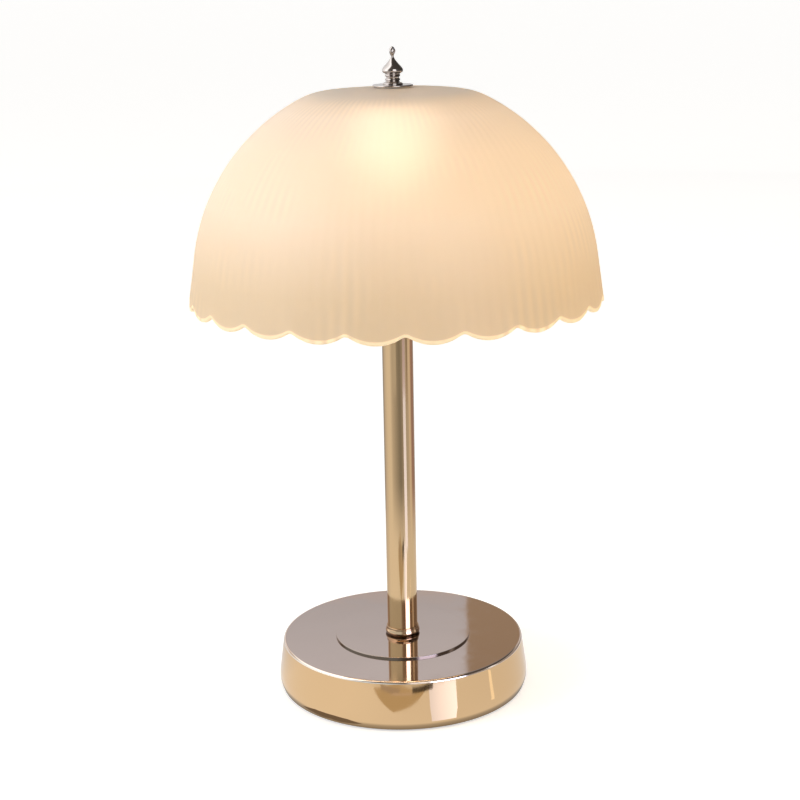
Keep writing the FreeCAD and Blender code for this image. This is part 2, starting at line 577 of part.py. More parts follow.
def make_lampholder():
    """Cap, grub screw, shell, switch body, contacts, terminals, screw shell and key."""
    lap_r = "holder_r + fit"
    turned("lampholder_cap", [
        (ROD_HOLE, HOLDER_LOW),
        ("hub_r", HOLDER_LOW),
        ("hub_r", CAP_LOW),
        (f"{lap_r} + holder_wall - cap_corner", CAP_LOW),
        (f"{lap_r} + holder_wall", plus(CAP_LOW, "cap_corner")),
        (f"{lap_r} + holder_wall", CAP_TOP),
        (lap_r, CAP_TOP),
        (lap_r, plus(CAP_LOW, "cap_corner")),
        (f"{lap_r} - cap_corner + holder_wall", CAP_FLOOR),
        (ROD_HOLE, CAP_FLOOR),
    ])
    hole = circle(doc.lampholder_cap, "0", plus(HOLDER_LOW, "hub_z / 2"), "grub_r + run", "XZ_Plane")
    pocket(doc.lampholder_cap, hole)
    grub_end = "hub_r + holder_wall"
    grub = turned("cap_screw", [("0", "rod_r"), ("grub_r", "rod_r"), ("grub_r", grub_end), ("0", grub_end)])
    place(grub, z=plus(HOLDER_LOW, "hub_z / 2"), axis=V(-1, 0, 0), degrees="90")

    # The shell stands on the cap's inner corner
    shell_low = plus(CAP_LOW, "cap_corner")
    shell = turned("lampholder_shell", [
        ("holder_r - holder_wall", shell_low),
        ("holder_r", shell_low),
        ("holder_r", f"{SHELL_TOP} - 2 * holder_bead"),
        ("holder_r + holder_bead", f"{SHELL_TOP} - holder_bead"),
        ("holder_r", SHELL_TOP),
        ("holder_r - holder_wall", SHELL_TOP),
    ])
    pocket(shell, circle(shell, "0", KEY_Z, "key_hole_r", "XZ_Plane"), True)

    switch = turned("switch_body", [
        ("0", CAP_FLOOR),
        (SWITCH_FOOT, CAP_FLOOR),
        (SWITCH_R, shell_low),
        (SWITCH_R, SWITCH_TOP),
        ("0", SWITCH_TOP),
    ])
    bearing = circle(switch, "0", KEY_Z, "shaft_r + run", "XZ_Plane")
    bearing.setExpression("AttachmentOffset.Base.z", bound(f"{SWITCH_R} - shaft_depth"))
    pocket(switch, bearing, True)

    ring("screw_shell", "lamp_cap_r + lamp_gap", "lamp_cap_r + lamp_gap + screw_shell_t", SWITCH_TOP,
         f"{SHELL_TOP} - screw_shell_low")
    turned("centre_contact", [
        ("0", SWITCH_TOP), ("contact_r", SWITCH_TOP), ("contact_r", LAMP_LOW), ("0", LAMP_LOW),
    ])
    terminals = new_body("terminal_screws")
    head = pad(terminals, circle(terminals, "terminal_x", "0", "terminal_r"), SWITCH_TOP, LAMP_LOW)
    around(terminals, [head], "terminals")

    grip = plus("shaft_depth", "holder_r - " + SWITCH_R, "shaft_out")
    key = turned("switch_key", [
        ("0", "run"),
        ("shaft_r", "run"),
        ("shaft_r", grip),
        ("knob_r - knob_bevel", grip),
        ("knob_r", plus(grip, "knob_bevel")),
        ("knob_r", plus(grip, "knob_z")),
        ("0", plus(grip, "knob_z")),
    ])
    # The knob's sides are cut flat past its round neck
    for side in ("", "-"):
        flat = outline(key, [
            (f"{side}knob_flat", plus(grip, "knob_neck")),
            (f"{side}2 * knob_r", plus(grip, "knob_neck")),
            (f"{side}2 * knob_r", plus(grip, "2 * knob_z")),
            (f"{side}knob_flat", plus(grip, "2 * knob_z")),
        ])
        cut = pocket(key, flat)
        cut.Midplane = True
    place(key, y=f"shaft_depth - {SWITCH_R}", z=KEY_Z, axis=V(1, 0, 0), degrees="90")


def make_lamp():
    """The bulb: contact, insulator, cap and glass."""
    turned("bulb_contact", [
        ("0", LAMP_LOW), ("lamp_tip_r", LAMP_LOW), ("lamp_tip_r", LAMP_CAP_LOW), ("0", LAMP_CAP_LOW),
    ])
    inside = "lamp_cap_r - lamp_cap_t - fit"
    turned("bulb_insulator", [
        ("0", LAMP_CAP_LOW),
        ("lamp_tip_r", LAMP_CAP_LOW),
        (inside, plus(LAMP_CAP_LOW, "glaze_t")),
        ("0", plus(LAMP_CAP_LOW, "glaze_t")),
    ])
    ring("bulb_cap", "lamp_cap_r - lamp_cap_t", "lamp_cap_r", plus(LAMP_CAP_LOW, "glaze_t"), LAMP_CAP_TOP)

    # The globe is round in steps, given in degrees from its top, over a straight well
    middle = f"{LAMP_TOP} - globe_r"
    turns = (140, 115, 90, 65, 42, 20)
    globe = [(f"globe_r * sin({turn})", f"{middle} + globe_r * cos({turn})") for turn in turns]
    turned("bulb_glass", [
        (f"{inside} - glass_t", f"{LAMP_CAP_TOP} - neck_z"),
        (inside, f"{LAMP_CAP_TOP} - neck_z"),
        (inside, LAMP_CAP_TOP),
        *globe,
        ("0", LAMP_TOP),
        ("0", middle),
        (f"{inside} - glass_t", middle),
    ])


def shade_line(inset):
    """Corners of the glass outline from the crown to the rim, drawn in from the outside by inset."""
    shoulder_z = f"({SEAT_TOP} - (shoulder_mid + shoulder_curve * sin(crown_slope) - seat_r)" \
                 " * tan(crown_slope) - shoulder_curve * cos(crown_slope))"
    shoulder = f"(shoulder_curve - {inset})"
    # The side is a sphere about the axis that the shoulder runs into
    side_curve = "(shoulder_mid / sin(shoulder_slope) + shoulder_curve)"
    side_z = f"({shoulder_z} - shoulder_mid / tan(shoulder_slope))"
    side = f"({side_curve} - {inset})"
    flank = (f"{side} * sin(rim_slope)", f"{side_z} + {side} * cos(rim_slope)")
    rim_z = f"({side_z} + {side_curve} * cos(rim_slope) - flank_z)"
    rim = (f"{flank[0]} + ({flank[1]} - {rim_z}) / tan(rim_slope)", rim_z)
    return {
        "seat_z": f"{SEAT_TOP} - {inset}",
        "crown": (f"shoulder_mid + {shoulder} * sin(crown_slope)",
                  f"{shoulder_z} + {shoulder} * cos(crown_slope)"),
        "shoulder": (f"shoulder_mid + {shoulder} * sin(shoulder_slope)",
                     f"{shoulder_z} + {shoulder} * cos(shoulder_slope)"),
        "flank": flank,
        "rim": rim,
        "shoulder_curve": shoulder,
        "side_curve": side,
    }


def make_shade():
    """The glass dome with its scalloped rim, its gaskets and washer, and the finial."""
    outer, inner = shade_line("0"), shade_line("shade_t")
    hole = "stud_r + hole_gap"
    shade = turned("shade_glass", [
        (hole, outer["seat_z"]),
        (hole, inner["seat_z"]),
        ("seat_r", inner["seat_z"]),
        inner["crown"] + (inner["shoulder_curve"], "right"),
        inner["shoulder"] + (inner["side_curve"], "right"),
        inner["flank"],
        inner["rim"],
        outer["rim"],
        outer["flank"] + (outer["side_curve"], "left"),
        outer["shoulder"] + (outer["shoulder_curve"], "left"),
        outer["crown"],
        ("seat_r", outer["seat_z"]),
    ])
    rim_r, rim_z = outer["rim"]
    half = f"(({rim_r}) * sin(180 / lobes))"
    lobe = f"(({half}^2 + lobe_depth^2) / (2 * lobe_depth))"
    # Each lobe keeps a short flat land at the rim, so that neighbouring cuts never meet
    low = f"({rim_z} - lobe_dip)"
    edge = f"({half} - lobe_land)"
    edge_z = f"{low} + {lobe} - sqrt({lobe}^2 - lobe_land^2)"
    cusp = f"({half} * cusp_r / ({lobe} + cusp_r))"
    cusp_z = f"{low} + {lobe} - sqrt(({lobe} + cusp_r)^2 - {half}^2) * {lobe} / ({lobe} + cusp_r)"
    notch = outline(shade, [
        (f"-{edge}", f"{rim_z} - lobe_depth"),
        (edge, f"{rim_z} - lobe_depth"),
        (edge, edge_z, lobe, "right"),
        (cusp, cusp_z, "cusp_r", "left"),
        (f"-{cusp}", cusp_z, lobe, "right"),
        (f"-{edge}", edge_z),
    ])
    around(shade, [pocket(shade, notch, True)], "lobes")
    place(shade, axis=V(0, 0, 1), degrees="lobe_turn")

    ring("shade_gasket_lower", hole, "flange_r", FLANGE_TOP, SEAT_LOW)
    ring("shade_gasket_upper", hole, "gasket_r", SEAT_TOP, WASHER_LOW)
    ring("shade_washer", hole, "plate_top_r", WASHER_LOW, FINIAL_LOW)
    make_finial()


def make_finial():
    """A turned nut: foot, bead, neck, a bulge, a drawn-in cone and a small pointed ball."""
    # Each ring's share of the bulge's radius, and of the height
    rings = [
        (0.95, 0), (0.95, 0.04), (0.65, 0.09), (0.74, 0.135), (0.63, 0.18), (0.63, 0.26),
        (0.97, 0.335), (1, 0.4), (0.72, 0.5), (0.28, 0.665), (0.13, 0.735), (0.31, 0.85), (0.29, 0.93),
    ]
    turned("finial", [
        ("0", BORE_TOP),
        ("stud_r + run", BORE_TOP),
        ("stud_r + run", FINIAL_LOW),
        *[(f"finial_r * {share}", plus(FINIAL_LOW, f"finial_z * {rise}")) for share, rise in rings],
        ("0", plus(FINIAL_LOW, "finial_z")),
    ])


def finish():
    """Checks every object, then writes one STEP file for each sub-part."""
    doc.recompute()
    failed = [item.Name for item in doc.Objects if {"Invalid", "Error"} & set(item.State)]
    bodies = [item for item in doc.Objects if item.TypeId == "PartDesign::Body"]
    broken = [item.Label for item in bodies if item.Shape.isNull() or not item.Shape.isValid()]
    empty = [item.Label for item in bodies if not item.Shape.Solids]
    if failed or broken or empty:
        raise RuntimeError(f"failed: {failed}, not valid: {broken}, without a solid: {empty}")
    os.makedirs("parts", exist_ok=True)
    for item in bodies:
        item.Shape.exportStep(f"parts/{item.Label}.step")
        print(item.Label, len(item.Shape.Solids), round(item.Shape.Volume, 1))


make_base()
make_stand()
make_harp()
make_lampholder()
make_lamp()
make_shade()
finish()
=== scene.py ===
# %% [markdown]
# # A mushroom lamp with a ribbed, scalloped glass shade
#
# The metal and glass parts of this lamp are nearly all turned or blown, so most pieces start as a
# half outline that is spun about the lamp's axis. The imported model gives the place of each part,
# and every new piece stands for one of its nodes. All lengths in the outlines are millimetres.

import math

import bmesh
import bpy
from mathutils import Matrix, Vector


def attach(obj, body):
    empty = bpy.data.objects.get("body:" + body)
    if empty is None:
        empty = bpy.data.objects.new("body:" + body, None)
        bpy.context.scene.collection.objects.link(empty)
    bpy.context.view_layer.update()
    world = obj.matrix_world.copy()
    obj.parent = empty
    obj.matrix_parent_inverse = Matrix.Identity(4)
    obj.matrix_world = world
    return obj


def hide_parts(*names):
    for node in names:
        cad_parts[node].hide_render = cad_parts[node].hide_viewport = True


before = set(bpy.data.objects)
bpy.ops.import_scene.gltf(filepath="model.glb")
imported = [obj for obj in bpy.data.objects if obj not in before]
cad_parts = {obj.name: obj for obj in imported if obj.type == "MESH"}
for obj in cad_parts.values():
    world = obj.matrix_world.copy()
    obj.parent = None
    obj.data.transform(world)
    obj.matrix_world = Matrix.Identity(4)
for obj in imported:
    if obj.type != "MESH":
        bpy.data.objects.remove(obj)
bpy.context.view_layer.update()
MM = 0.001

# %% [markdown]
# ## Camera
#
# The picture was taken from a metre away and slightly above, with a short telephoto lens, so the
# rim of the glass and the base both show as flat ellipses. The numbers come from fitting the
# ellipses of the rim, the disc and the base. The camera is built from its three directions, which
# is easier to read than three Euler angles.

# %% Make the camera
FOCAL_PIXELS, PICTURE_PIXELS, SENSOR = 1682.25, 800, 36.0
CAMERA_PLACE = (0, -1.00453, 0.45293)
PITCH, YAW, ROLL = math.radians(14.897), math.radians(0.053), math.radians(-1.038)

ahead = Vector((math.sin(YAW) * math.cos(PITCH), math.cos(YAW) * math.cos(PITCH), -math.sin(PITCH)))
level = Vector((math.cos(YAW), -math.sin(YAW), 0))
upright = level.cross(ahead)
right = math.cos(ROLL) * level + math.sin(ROLL) * upright
up = math.cos(ROLL) * upright - math.sin(ROLL) * level

camera = bpy.data.objects.new("Camera", bpy.data.cameras.new("Camera"))
bpy.context.collection.objects.link(camera)
camera.data.sensor_width = SENSOR
camera.data.lens = FOCAL_PIXELS / PICTURE_PIXELS * SENSOR
facing = Matrix((right, up, -ahead)).transposed().to_4x4()
camera.matrix_world = Matrix.Translation(CAMERA_PLACE) @ facing
bpy.context.scene.camera = camera
bpy.context.scene.view_settings.view_transform = "Standard"
print("lens", round(camera.data.lens, 2), "mm")

# %% [markdown]
# ## Colours and nodes
#
# Colours are written as they look on a screen, as hex values, and one function turns them to the
# linear numbers that a renderer wants. A second function adds a shader node with its settings and
# links, and a few more take up the nodes that every material needs, so that each material reads as
# a short list. The scale of a noise comes from the width of a mark on the real surface, in
# millimetres. Marks that are too fine to show in a picture of this size are drawn wider than they
# are.

# %% Colour and node helpers


def colour(text):
    """A hex colour such as #E0BE92 as linear red, green, blue and alpha."""
    shares = [int(text[k:k + 2], 16) / 255 for k in (1, 3, 5)]
    return tuple(c / 12.92 if c <= 0.04045 else ((c + 0.055) / 1.055) ** 2.4 for c in shares) + (1,)


def add(tree, kind, inputs=None, **settings):
    """A new shader node. An input is a number or colour, or another node's output to link."""
    node = tree.nodes.new("ShaderNode" + kind)
    for name, value in settings.items():
        setattr(node, name, value)
    for name, value in (inputs or {}).items():
        if isinstance(value, bpy.types.NodeSocket):
            tree.links.new(value, node.inputs[name])
        else:
            node.inputs[name].default_value = value
    return node


def new_material(name):
    """An empty node material and its output node."""
    material = bpy.data.materials.new(name)
    material.use_nodes = True
    material.node_tree.nodes.clear()
    output = add(material.node_tree, "OutputMaterial")
    return material, material.node_tree, output


def connect(tree, shader, output):
    """Sends a shader to the material's surface."""
    tree.links.new(shader.outputs[0], output.inputs["Surface"])


print("white is", colour("#FFFFFF"))

# %% Nodes that every material needs


def marks(width):
    """The scale of a noise whose marks are about this wide, in millimetres."""
    return 1 / (width * MM)


def noise(tree, place, scale, detail, roughness=0.5):
    """A soft uneven pattern between 0 and 1."""
    return add(tree, "TexNoise", {"Vector": place, "Scale": scale, "Detail": detail,
                                  "Roughness": roughness}).outputs["Fac"]


def reckon(tree, operation, first, second=0.0):
    """One step of arithmetic with two values."""
    return add(tree, "Math", {0: first, 1: second}, operation=operation).outputs[0]


def stretch(tree, value, start, end, low=0.0, high=1.0, **settings):
    """Carries a value from one range to another and holds it at the ends."""
    return add(tree, "MapRange", {"Value": value, "From Min": start, "From Max": end,
                                  "To Min": low, "To Max": high}, **settings).outputs["Result"]


def blend(tree, share, first, second, kind="RGBA"):
    """A colour, or with FLOAT a number, that lies between two others."""
    return add(tree, "Mix", {"Factor": share, "A": first, "B": second},
               data_type=kind).outputs["Result"]


def bumps(tree, height, strength, depth):
    """The normal of a surface that only looks uneven. The depth is in millimetres."""
    return add(tree, "Bump", {"Height": height, "Strength": strength,
                              "Distance": depth * MM}).outputs["Normal"]


print("marks of 50 mm have scale", marks(50))

# %% [markdown]
# ## Champagne plating
#
# The base and the stem are steel and brass polished to a mirror and plated with a warm, pale gold
# chrome. Plating has no grain of its own: what the eye sees is the room, a little softened by wipe
# marks that change the gloss, and bent by the slight waves that polishing leaves in a thin sheet.
# The wide waves are drawn as a very weak bump, the wipe marks as changes of roughness. The thickness
# of the plating changes its tint a little over some centimetres.

# %% Plated metals
TINT_DRIFT, WIPE_MARKS, POLISHING_WAVES = marks(55.6), marks(16.7), marks(28.6)
WIPED_DULLER = 0.07


def plated_metal(name, tint, second_tint, gloss, wave):
    """Mirror plating: its two tints drift over some centimetres, and wipe marks change its gloss."""
    material, tree, output = new_material(name)
    place = add(tree, "TexCoord").outputs["Object"]
    drift = noise(tree, place, TINT_DRIFT, 2.0)
    wipes = noise(tree, place, WIPE_MARKS, 6.0, 0.65)
    swell = noise(tree, place, POLISHING_WAVES, 1.0)
    metal = add(tree, "BsdfPrincipled", {
        "Base Color": blend(tree, drift, colour(tint), colour(second_tint)), "Metallic": 1.0,
        "Roughness": stretch(tree, wipes, 0.35, 0.75, gloss, gloss + WIPED_DULLER),
        "Normal": bumps(tree, swell, wave, 0.5)})
    connect(tree, metal, output)
    return material


base_plating = plated_metal("champagne_chrome_spun_base", "#E6C295", "#E1BC8E", 0.03, 0.12)
# The top's greyer tint is a painted reflection of the room behind
top_painted_reflection = plated_metal("champagne_chrome_base_top_painted_reflection", "#BBA99E", "#B5A297", 0.03, 0.08)
# The edge's paler tint is a painted highlight
edge_painted_highlight = plated_metal("champagne_chrome_edge_painted_highlight", "#F0E2D6", "#EBDACB", 0.05, 0.05)
# The step's dark tint is a painted shadow line
step_painted_shadow = plated_metal("champagne_chrome_step_painted_shadow", "#8C8278", "#7A7068", 0.08, 0.05)
collar_plating = plated_metal("champagne_chrome_turned_collar", "#BE9F80", "#B89A7C", 0.06, 0.04)
# The dark tint under the collar's lip is painted shade
undercut_painted_shade = plated_metal("champagne_chrome_undercut_painted_shade", "#5A4432", "#4A3626", 0.15, 0.05)
stem_plating = plated_metal("champagne_chrome_stem_tube", "#D9B88C", "#DDBE94", 0.06, 0.04)
bright_chrome = plated_metal("bright_chrome_turned_brass", "#B4ACA8", "#BEB8B4", 0.08, 0.04)
print("plated metals:", [metal.name for metal in bpy.data.materials if "chrome" in metal.name])

# %% [markdown]
# ## Turned pieces
#
# A lathe cuts a piece from a half outline. Here the outline's few corners become edges in the X-Z
# plane, the spin operator carries them once round the axis, and the rings that a real turner would
# break with a file are bevelled. Corners that lie on the axis are merged to one point.

# %% The lathe
SAME_PLACE, NEARLY = 1e-7, 1e-6


def ring_edges(bm, radius, height):
    """The edges of the ring that a corner of the outline drew."""
    def on_ring(vert):
        aside = abs(vert.co.xy.length - radius * MM)
        return aside < NEARLY and abs(vert.co.z - height * MM) < NEARLY
    return [edge for edge in bm.edges if all(on_ring(vert) for vert in edge.verts)]


def spin_once(bm, sides):
    """Carries all that is drawn so far once round the lamp's axis."""
    bmesh.ops.spin(bm, geom=bm.verts[:] + bm.edges[:], cent=(0, 0, 0), axis=(0, 0, 1),
                   angle=math.tau, steps=sides, use_merge=True)


def turn(corners, sides=128):
    """Spins an outline about Z. A corner is its radius, its height and, if it is rounded, how much."""
    bm = bmesh.new()
    line = [bm.verts.new((corner[0] * MM, 0, corner[1] * MM)) for corner in corners]
    for start, end in zip(line, line[1:] + line[:1]):
        bm.edges.new((start, end))
    spin_once(bm, sides)
    bmesh.ops.remove_doubles(bm, verts=bm.verts, dist=SAME_PLACE)
    bmesh.ops.recalc_face_normals(bm, faces=bm.faces)
    for corner in corners:
        if len(corner) == 3:
            bmesh.ops.bevel(bm, geom=ring_edges(bm, *corner[:2]), affect="EDGES",
                            offset=corner[2] * MM, segments=4, profile=0.5, material=-1,
                            clamp_overlap=True)
    return bm


print("corners closer than", SAME_PLACE, "m become one")

# %% From a mesh to a piece


def make_piece(bm, name, body, materials, nodes, crease=30):
    """Turns a bmesh into a smooth-shaded piece that rides on a body and stands for some nodes."""
    mesh = bpy.data.meshes.new(name)
    bm.to_mesh(mesh)
    bm.free()
    for material in materials:
        mesh.materials.append(material)
    mesh.shade_smooth()
    mesh.set_sharp_from_angle(angle=math.radians(crease))
    piece = bpy.data.objects.new(name, mesh)
    bpy.context.collection.objects.link(piece)
    # Large faces keep their own direction, so that a flat top isn't shaded as a dome by its bevel
    shading = piece.modifiers.new("even_shading", "WEIGHTED_NORMAL")
    shading.keep_sharp = True
    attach(piece, body)
    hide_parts(*nodes)
    print(name, "faces:", len(mesh.polygons))


# %% [markdown]
# ## The base
#
# The base is one spun sheet over an iron weight: a flat top, a tight rounded edge, a side that
# flares by three millimetres and a foot that curls in. The thin disc in the middle is a separate
# stamping, and its sharp step has a dark tint: a painted shadow line that circles the stem. The
# sheet's top gets a greyer tint of its own, a painted reflection of the room behind, and its rounded
# edge a paler tint, a painted highlight. The side has the plating's own tint and mirrors the room in
# front.

# %% Base cover
FACES_UP, FACES_OUT_AND_UP = 0.97, 0.25
cover = turn([
    (5.0, 31.3), (75.98, 31.3, 1.5), (79.1, 9.0, 3.0), (78.9, 4.8, 2.0), (77.4, 0.9, 0.3),
    (76.2, 0.9, 0.3), (77.9, 9.0), (75.0, 30.1), (5.0, 30.1),
], sides=192)
# Faces that look up get the painted reflection, the rounded edge the painted highlight
for face in cover.faces:
    if face.normal.z > FACES_UP:
        face.material_index = 1
    elif face.normal.z > FACES_OUT_AND_UP:
        face.material_index = 2
make_piece(cover, "base_shell", "stand", [base_plating, top_painted_reflection, edge_painted_highlight],
           ["base_cover"])

# %% Raised disc
STEEP = 0.6
disc = turn([(5.0, 32.5), (42.7, 32.5, 0.3), (42.7, 31.3), (5.0, 31.3)], sides=160)
# The disc's step gets the painted shadow line
for face in disc.faces:
    face.material_index = 1 if abs(face.normal.z) < STEEP else 0
make_piece(disc, "raised_disc", "stand", [top_painted_reflection, step_painted_shadow], ["centre_disc"])

# %% [markdown]
# ## Stem and collar
#
# The stem is a straight polished tube. The collar at its foot is a small turned ring with a bright
# lip, drawn in above and below it. The undercut below the lip has a dark tint of its own: painted
# shade under the lip.

# %% Stem, collar and cap
stem = turn([(9.5, 32.5), (9.5, 252.5), (8.5, 252.5), (8.5, 32.5)])
make_piece(stem, "stem", "stand", [stem_plating], ["stem_tube"])

LIP_Z = 33.9
collar = turn([
    (9.6, 32.5), (10.3, 32.5, 0.1), (11.0, 34.2, 0.6), (10.2, 36.1, 0.4), (10.2, 37.5, 0.4),
    (9.6, 37.5, 0.1),
])
# Faces under the lip get the painted shade
for face in collar.faces:
    below_lip = face.calc_center_median().z < LIP_Z * MM
    face.material_index = 1 if below_lip and face.normal.z < 0.1 else 0
make_piece(collar, "collar", "stand", [collar_plating, undercut_painted_shade], ["stem_collar"])

cap = turn([
    (5.0, 252.5), (9.6, 252.5), (9.6, 246.5), (11.1, 246.5, 0.4), (11.1, 254.5, 1.2), (5.0, 254.5),
])
make_piece(cap, "stem_end_cap", "stand", [stem_plating], ["stem_cap"])

# %% [markdown]
# ## The glass shade
#
# The shade was blown into a ribbed mould, cut off along 24 scallops and frosted. Its outline is a
# nearly flat crown, a shoulder, a side that is part of a sphere, and a last straight flank. The
# outline is drawn with the spin operator too: a point turns about the shoulder's centre and then
# about the side's centre, so that the curves meet without a kink. The outline then goes round the
# axis in 18 columns a scallop, the columns between ribs are drawn in by a third of a millimetre,
# and the lowest rows rise towards the cusps. Solidify gives the wall, and bevel melts the rim.

# %% Shade outline
WALL = 3.0
SEAT_TOP, SEAT_RADIUS, HOLE_RADIUS = 376.2, 14.0, 3.5
SHOULDER_RING, SHOULDER_CURVE = 38.8, 37.0
CROWN_SLOPE, SHOULDER_SLOPE, RIM_SLOPE = (math.radians(a) for a in (4, 27, 82))
FLANK = 29.6
SHOULDER_Z = (SEAT_TOP - (SHOULDER_RING + SHOULDER_CURVE * math.sin(CROWN_SLOPE) - SEAT_RADIUS)
              * math.tan(CROWN_SLOPE) - SHOULDER_CURVE * math.cos(CROWN_SLOPE))
SIDE_CURVE = SHOULDER_RING / math.sin(SHOULDER_SLOPE) + SHOULDER_CURVE
SIDE_Z = SHOULDER_Z - SHOULDER_RING / math.tan(SHOULDER_SLOPE)
print("shoulder centre", round(SHOULDER_Z, 2))
print("side centre", round(SIDE_Z, 2), "radius", round(SIDE_CURVE, 2))

# %% Draw an outline step by step


def bend(bm, last, centre, angle, steps):
    """Carries the outline's last point about a centre in the X-Z plane; returns the new last point."""
    made = bmesh.ops.spin(bm, geom=[last], cent=Vector(centre) * MM, axis=(0, 1, 0), angle=angle,
                          steps=steps)
    return made["geom_last"][0]


def run(bm, last, way, steps):
    """Extends the outline straight on by a vector, in equal steps."""
    for _ in range(steps):
        made = bmesh.ops.extrude_vert_indiv(bm, verts=[last])
        last = made["verts"][0]
        bmesh.ops.translate(bm, verts=[last], vec=Vector(way) * MM / steps)
    return last


print("the side is an arc of", round(math.degrees(RIM_SLOPE - SHOULDER_SLOPE)), "degrees")

# %% Shade shell
LOBES, COLUMNS, RIBS = 24, 18, 108
LOBE_TURN = math.radians(2)
LOBE_DEPTH, RIB_DEPTH, RIM_EDGE = 5.7, 0.34, 2.3

shade = bmesh.new()
tip = shade.verts.new((HOLE_RADIUS * MM, 0, SEAT_TOP * MM))
tip = run(shade, tip, (SEAT_RADIUS - HOLE_RADIUS, 0, 0), 2)
crown_run = SHOULDER_RING + SHOULDER_CURVE * math.sin(CROWN_SLOPE) - SEAT_RADIUS
tip = run(shade, tip, (crown_run, 0, -crown_run * math.tan(CROWN_SLOPE)), 5)
tip = bend(shade, tip, (SHOULDER_RING, 0, SHOULDER_Z), SHOULDER_SLOPE - CROWN_SLOPE, 5)
tip = bend(shade, tip, (0, 0, SIDE_Z), RIM_SLOPE - SHOULDER_SLOPE, 24)
tip = run(shade, tip, ((FLANK - RIM_EDGE) / math.tan(RIM_SLOPE), 0, RIM_EDGE - FLANK), 14)
tip = run(shade, tip, (RIM_EDGE / math.tan(RIM_SLOPE), 0, -RIM_EDGE), 1)
rim_radius, rim_z = tip.co.x / MM, tip.co.z / MM
print("rim radius", round(rim_radius, 2), "height", round(rim_z, 2))

spin_once(shade, LOBES * COLUMNS)
bmesh.ops.recalc_face_normals(shade, faces=shade.faces)
# The lowest rows get the rim glass with its stronger painted glow
for face in shade.faces:
    face.material_index = 1 if face.calc_center_median().z / MM < rim_z + RIM_EDGE else 0
print("faces in one skin of the shade:", len(shade.faces))

# %% [markdown]
# ### Ribs and scallops
#
# Each vertex knows its angle round the axis. The ribs fade in below the crown, as the mould's
# grooves do, and they are deeper in some sectors than in others, because blown glass doesn't fill
# its mould evenly. The scallop's lift is the height of a circle's arc over its lowest point, and it
# is shared out over the flank, so that the rows stay evenly spaced.

# %% Ribs and scallops
RIBS_START, RIBS_FULL = 25, 60
CUSP_CUT, CUSP_WIDTH = 0.75, math.radians(1.2)
LIFT_POWER = 1.5


def fade(value, low, high):
    """0 below low and 1 above high, with a smooth way between."""
    share = min(max((value - low) / (high - low), 0), 1)
    return share * share * (3 - 2 * share)


half_lobe = rim_radius * math.sin(math.pi / LOBES)
lobe_radius = (half_lobe ** 2 + LOBE_DEPTH ** 2) / (2 * LOBE_DEPTH)
for vert in shade.verts:
    angle = math.atan2(vert.co.x, -vert.co.y)
    height, radius = vert.co.z / MM, vert.co.xy.length / MM
    # How well the glass filled the mould here, from 0 to 1
    filled = 0.5 + 0.5 * math.sin(5 * angle + 0.03 * height) * math.sin(3 * angle - 0.02 * height + 1)
    wave = 0.5 - 0.5 * math.cos(angle * RIBS)
    depth = RIB_DEPTH * filled * fade(radius, RIBS_START, RIBS_FULL) * wave
    pull = 1 - depth / radius
    vert.co.x *= pull
    vert.co.y *= pull
    # From a cusp, half a lobe either way reaches the lowest point
    from_cusp = (angle - LOBE_TURN + math.pi / LOBES) % (math.tau / LOBES) - math.pi / LOBES
    across = rim_radius * math.sin(math.pi / LOBES - abs(from_cusp))
    lift = lobe_radius - math.sqrt(lobe_radius ** 2 - across ** 2)
    # The flame rounds the cusps off a little
    lift -= CUSP_CUT * max(1 - abs(from_cusp) / CUSP_WIDTH, 0) ** 2
    share = min(max((rim_z + FLANK - height) / FLANK, 0), 1)
    vert.co.z += lift * share ** LIFT_POWER * MM
print("a lobe's arc has a radius of", round(lobe_radius, 1), "mm")

# %% Wall and melted rim
MELTED, RIM_CORNER, FACES_DOWN = 0.9, math.radians(50), -0.7
RIM_TOP = rim_z + LOBE_DEPTH + 1

bmesh.ops.solidify(shade, geom=shade.faces[:], thickness=WALL * MM)
bmesh.ops.recalc_face_normals(shade, faces=shade.faces)
# Faces that look down at the rim get the rim glass and its painted glow too
for face in shade.faces:
    if face.normal.z < FACES_DOWN and face.calc_center_median().z / MM < RIM_TOP:
        face.material_index = 1
rim_edges = [edge for edge in shade.edges if edge.verts[0].co.z / MM < RIM_TOP
             and len(edge.link_faces) == 2 and edge.calc_face_angle(0) > RIM_CORNER]
bmesh.ops.bevel(shade, geom=rim_edges, affect="EDGES", offset=MELTED * MM, segments=3, profile=0.5,
                material=1, clamp_overlap=True)
print("rim edges melted:", len(rim_edges))

# %% [markdown]
# ### Frosted glass
#
# Acid-frosted opal glass scatters light twice: at its satin skin and in the milky body. The eye
# gets a cream surface in room light, a soft bright spot where the lamp stands close behind, and a
# warm glow that fades towards the rim. The skin is rough transmission and the body is a translucent
# share. The light that wanders inside the dome is painted on the glass as a weak glow that depends
# on the height, and the rim has a stronger painted glow. At the crown the glass is thick, so both
# shares that let light through shrink there. The grooves of the mould come and go, so a slow noise
# breaks their streaks of light, which are painted glow too. The body's tint is darker and greyer at
# the crown and towards the rim: painted shade.

# %% Glow painted on the glass from inside
# Strengths of the glow painted on the glass, by height from the rim to the crown
INSIDE_GLOW_PAINTED = [(0.25, 0.3), (0.6, 0.42), (0.76, 0.32), (0.92, 0.09)]
RIM_LIGHT, CROWN_LIGHT = 0.2, 0.0
STREAK_PATCHES, STREAK = marks(38.5), 0.12


def ramp_between(tree, value, first, stops, last):
    """A colour that changes with a value: its two end colours and the stops between them."""
    ramp = add(tree, "ValToRGB", {"Fac": value})
    for spot, tint in stops:
        ramp.color_ramp.elements.new(spot).color = tint
    ramp.color_ramp.elements[0].color = first
    ramp.color_ramp.elements[-1].color = last
    return ramp.outputs["Color"]


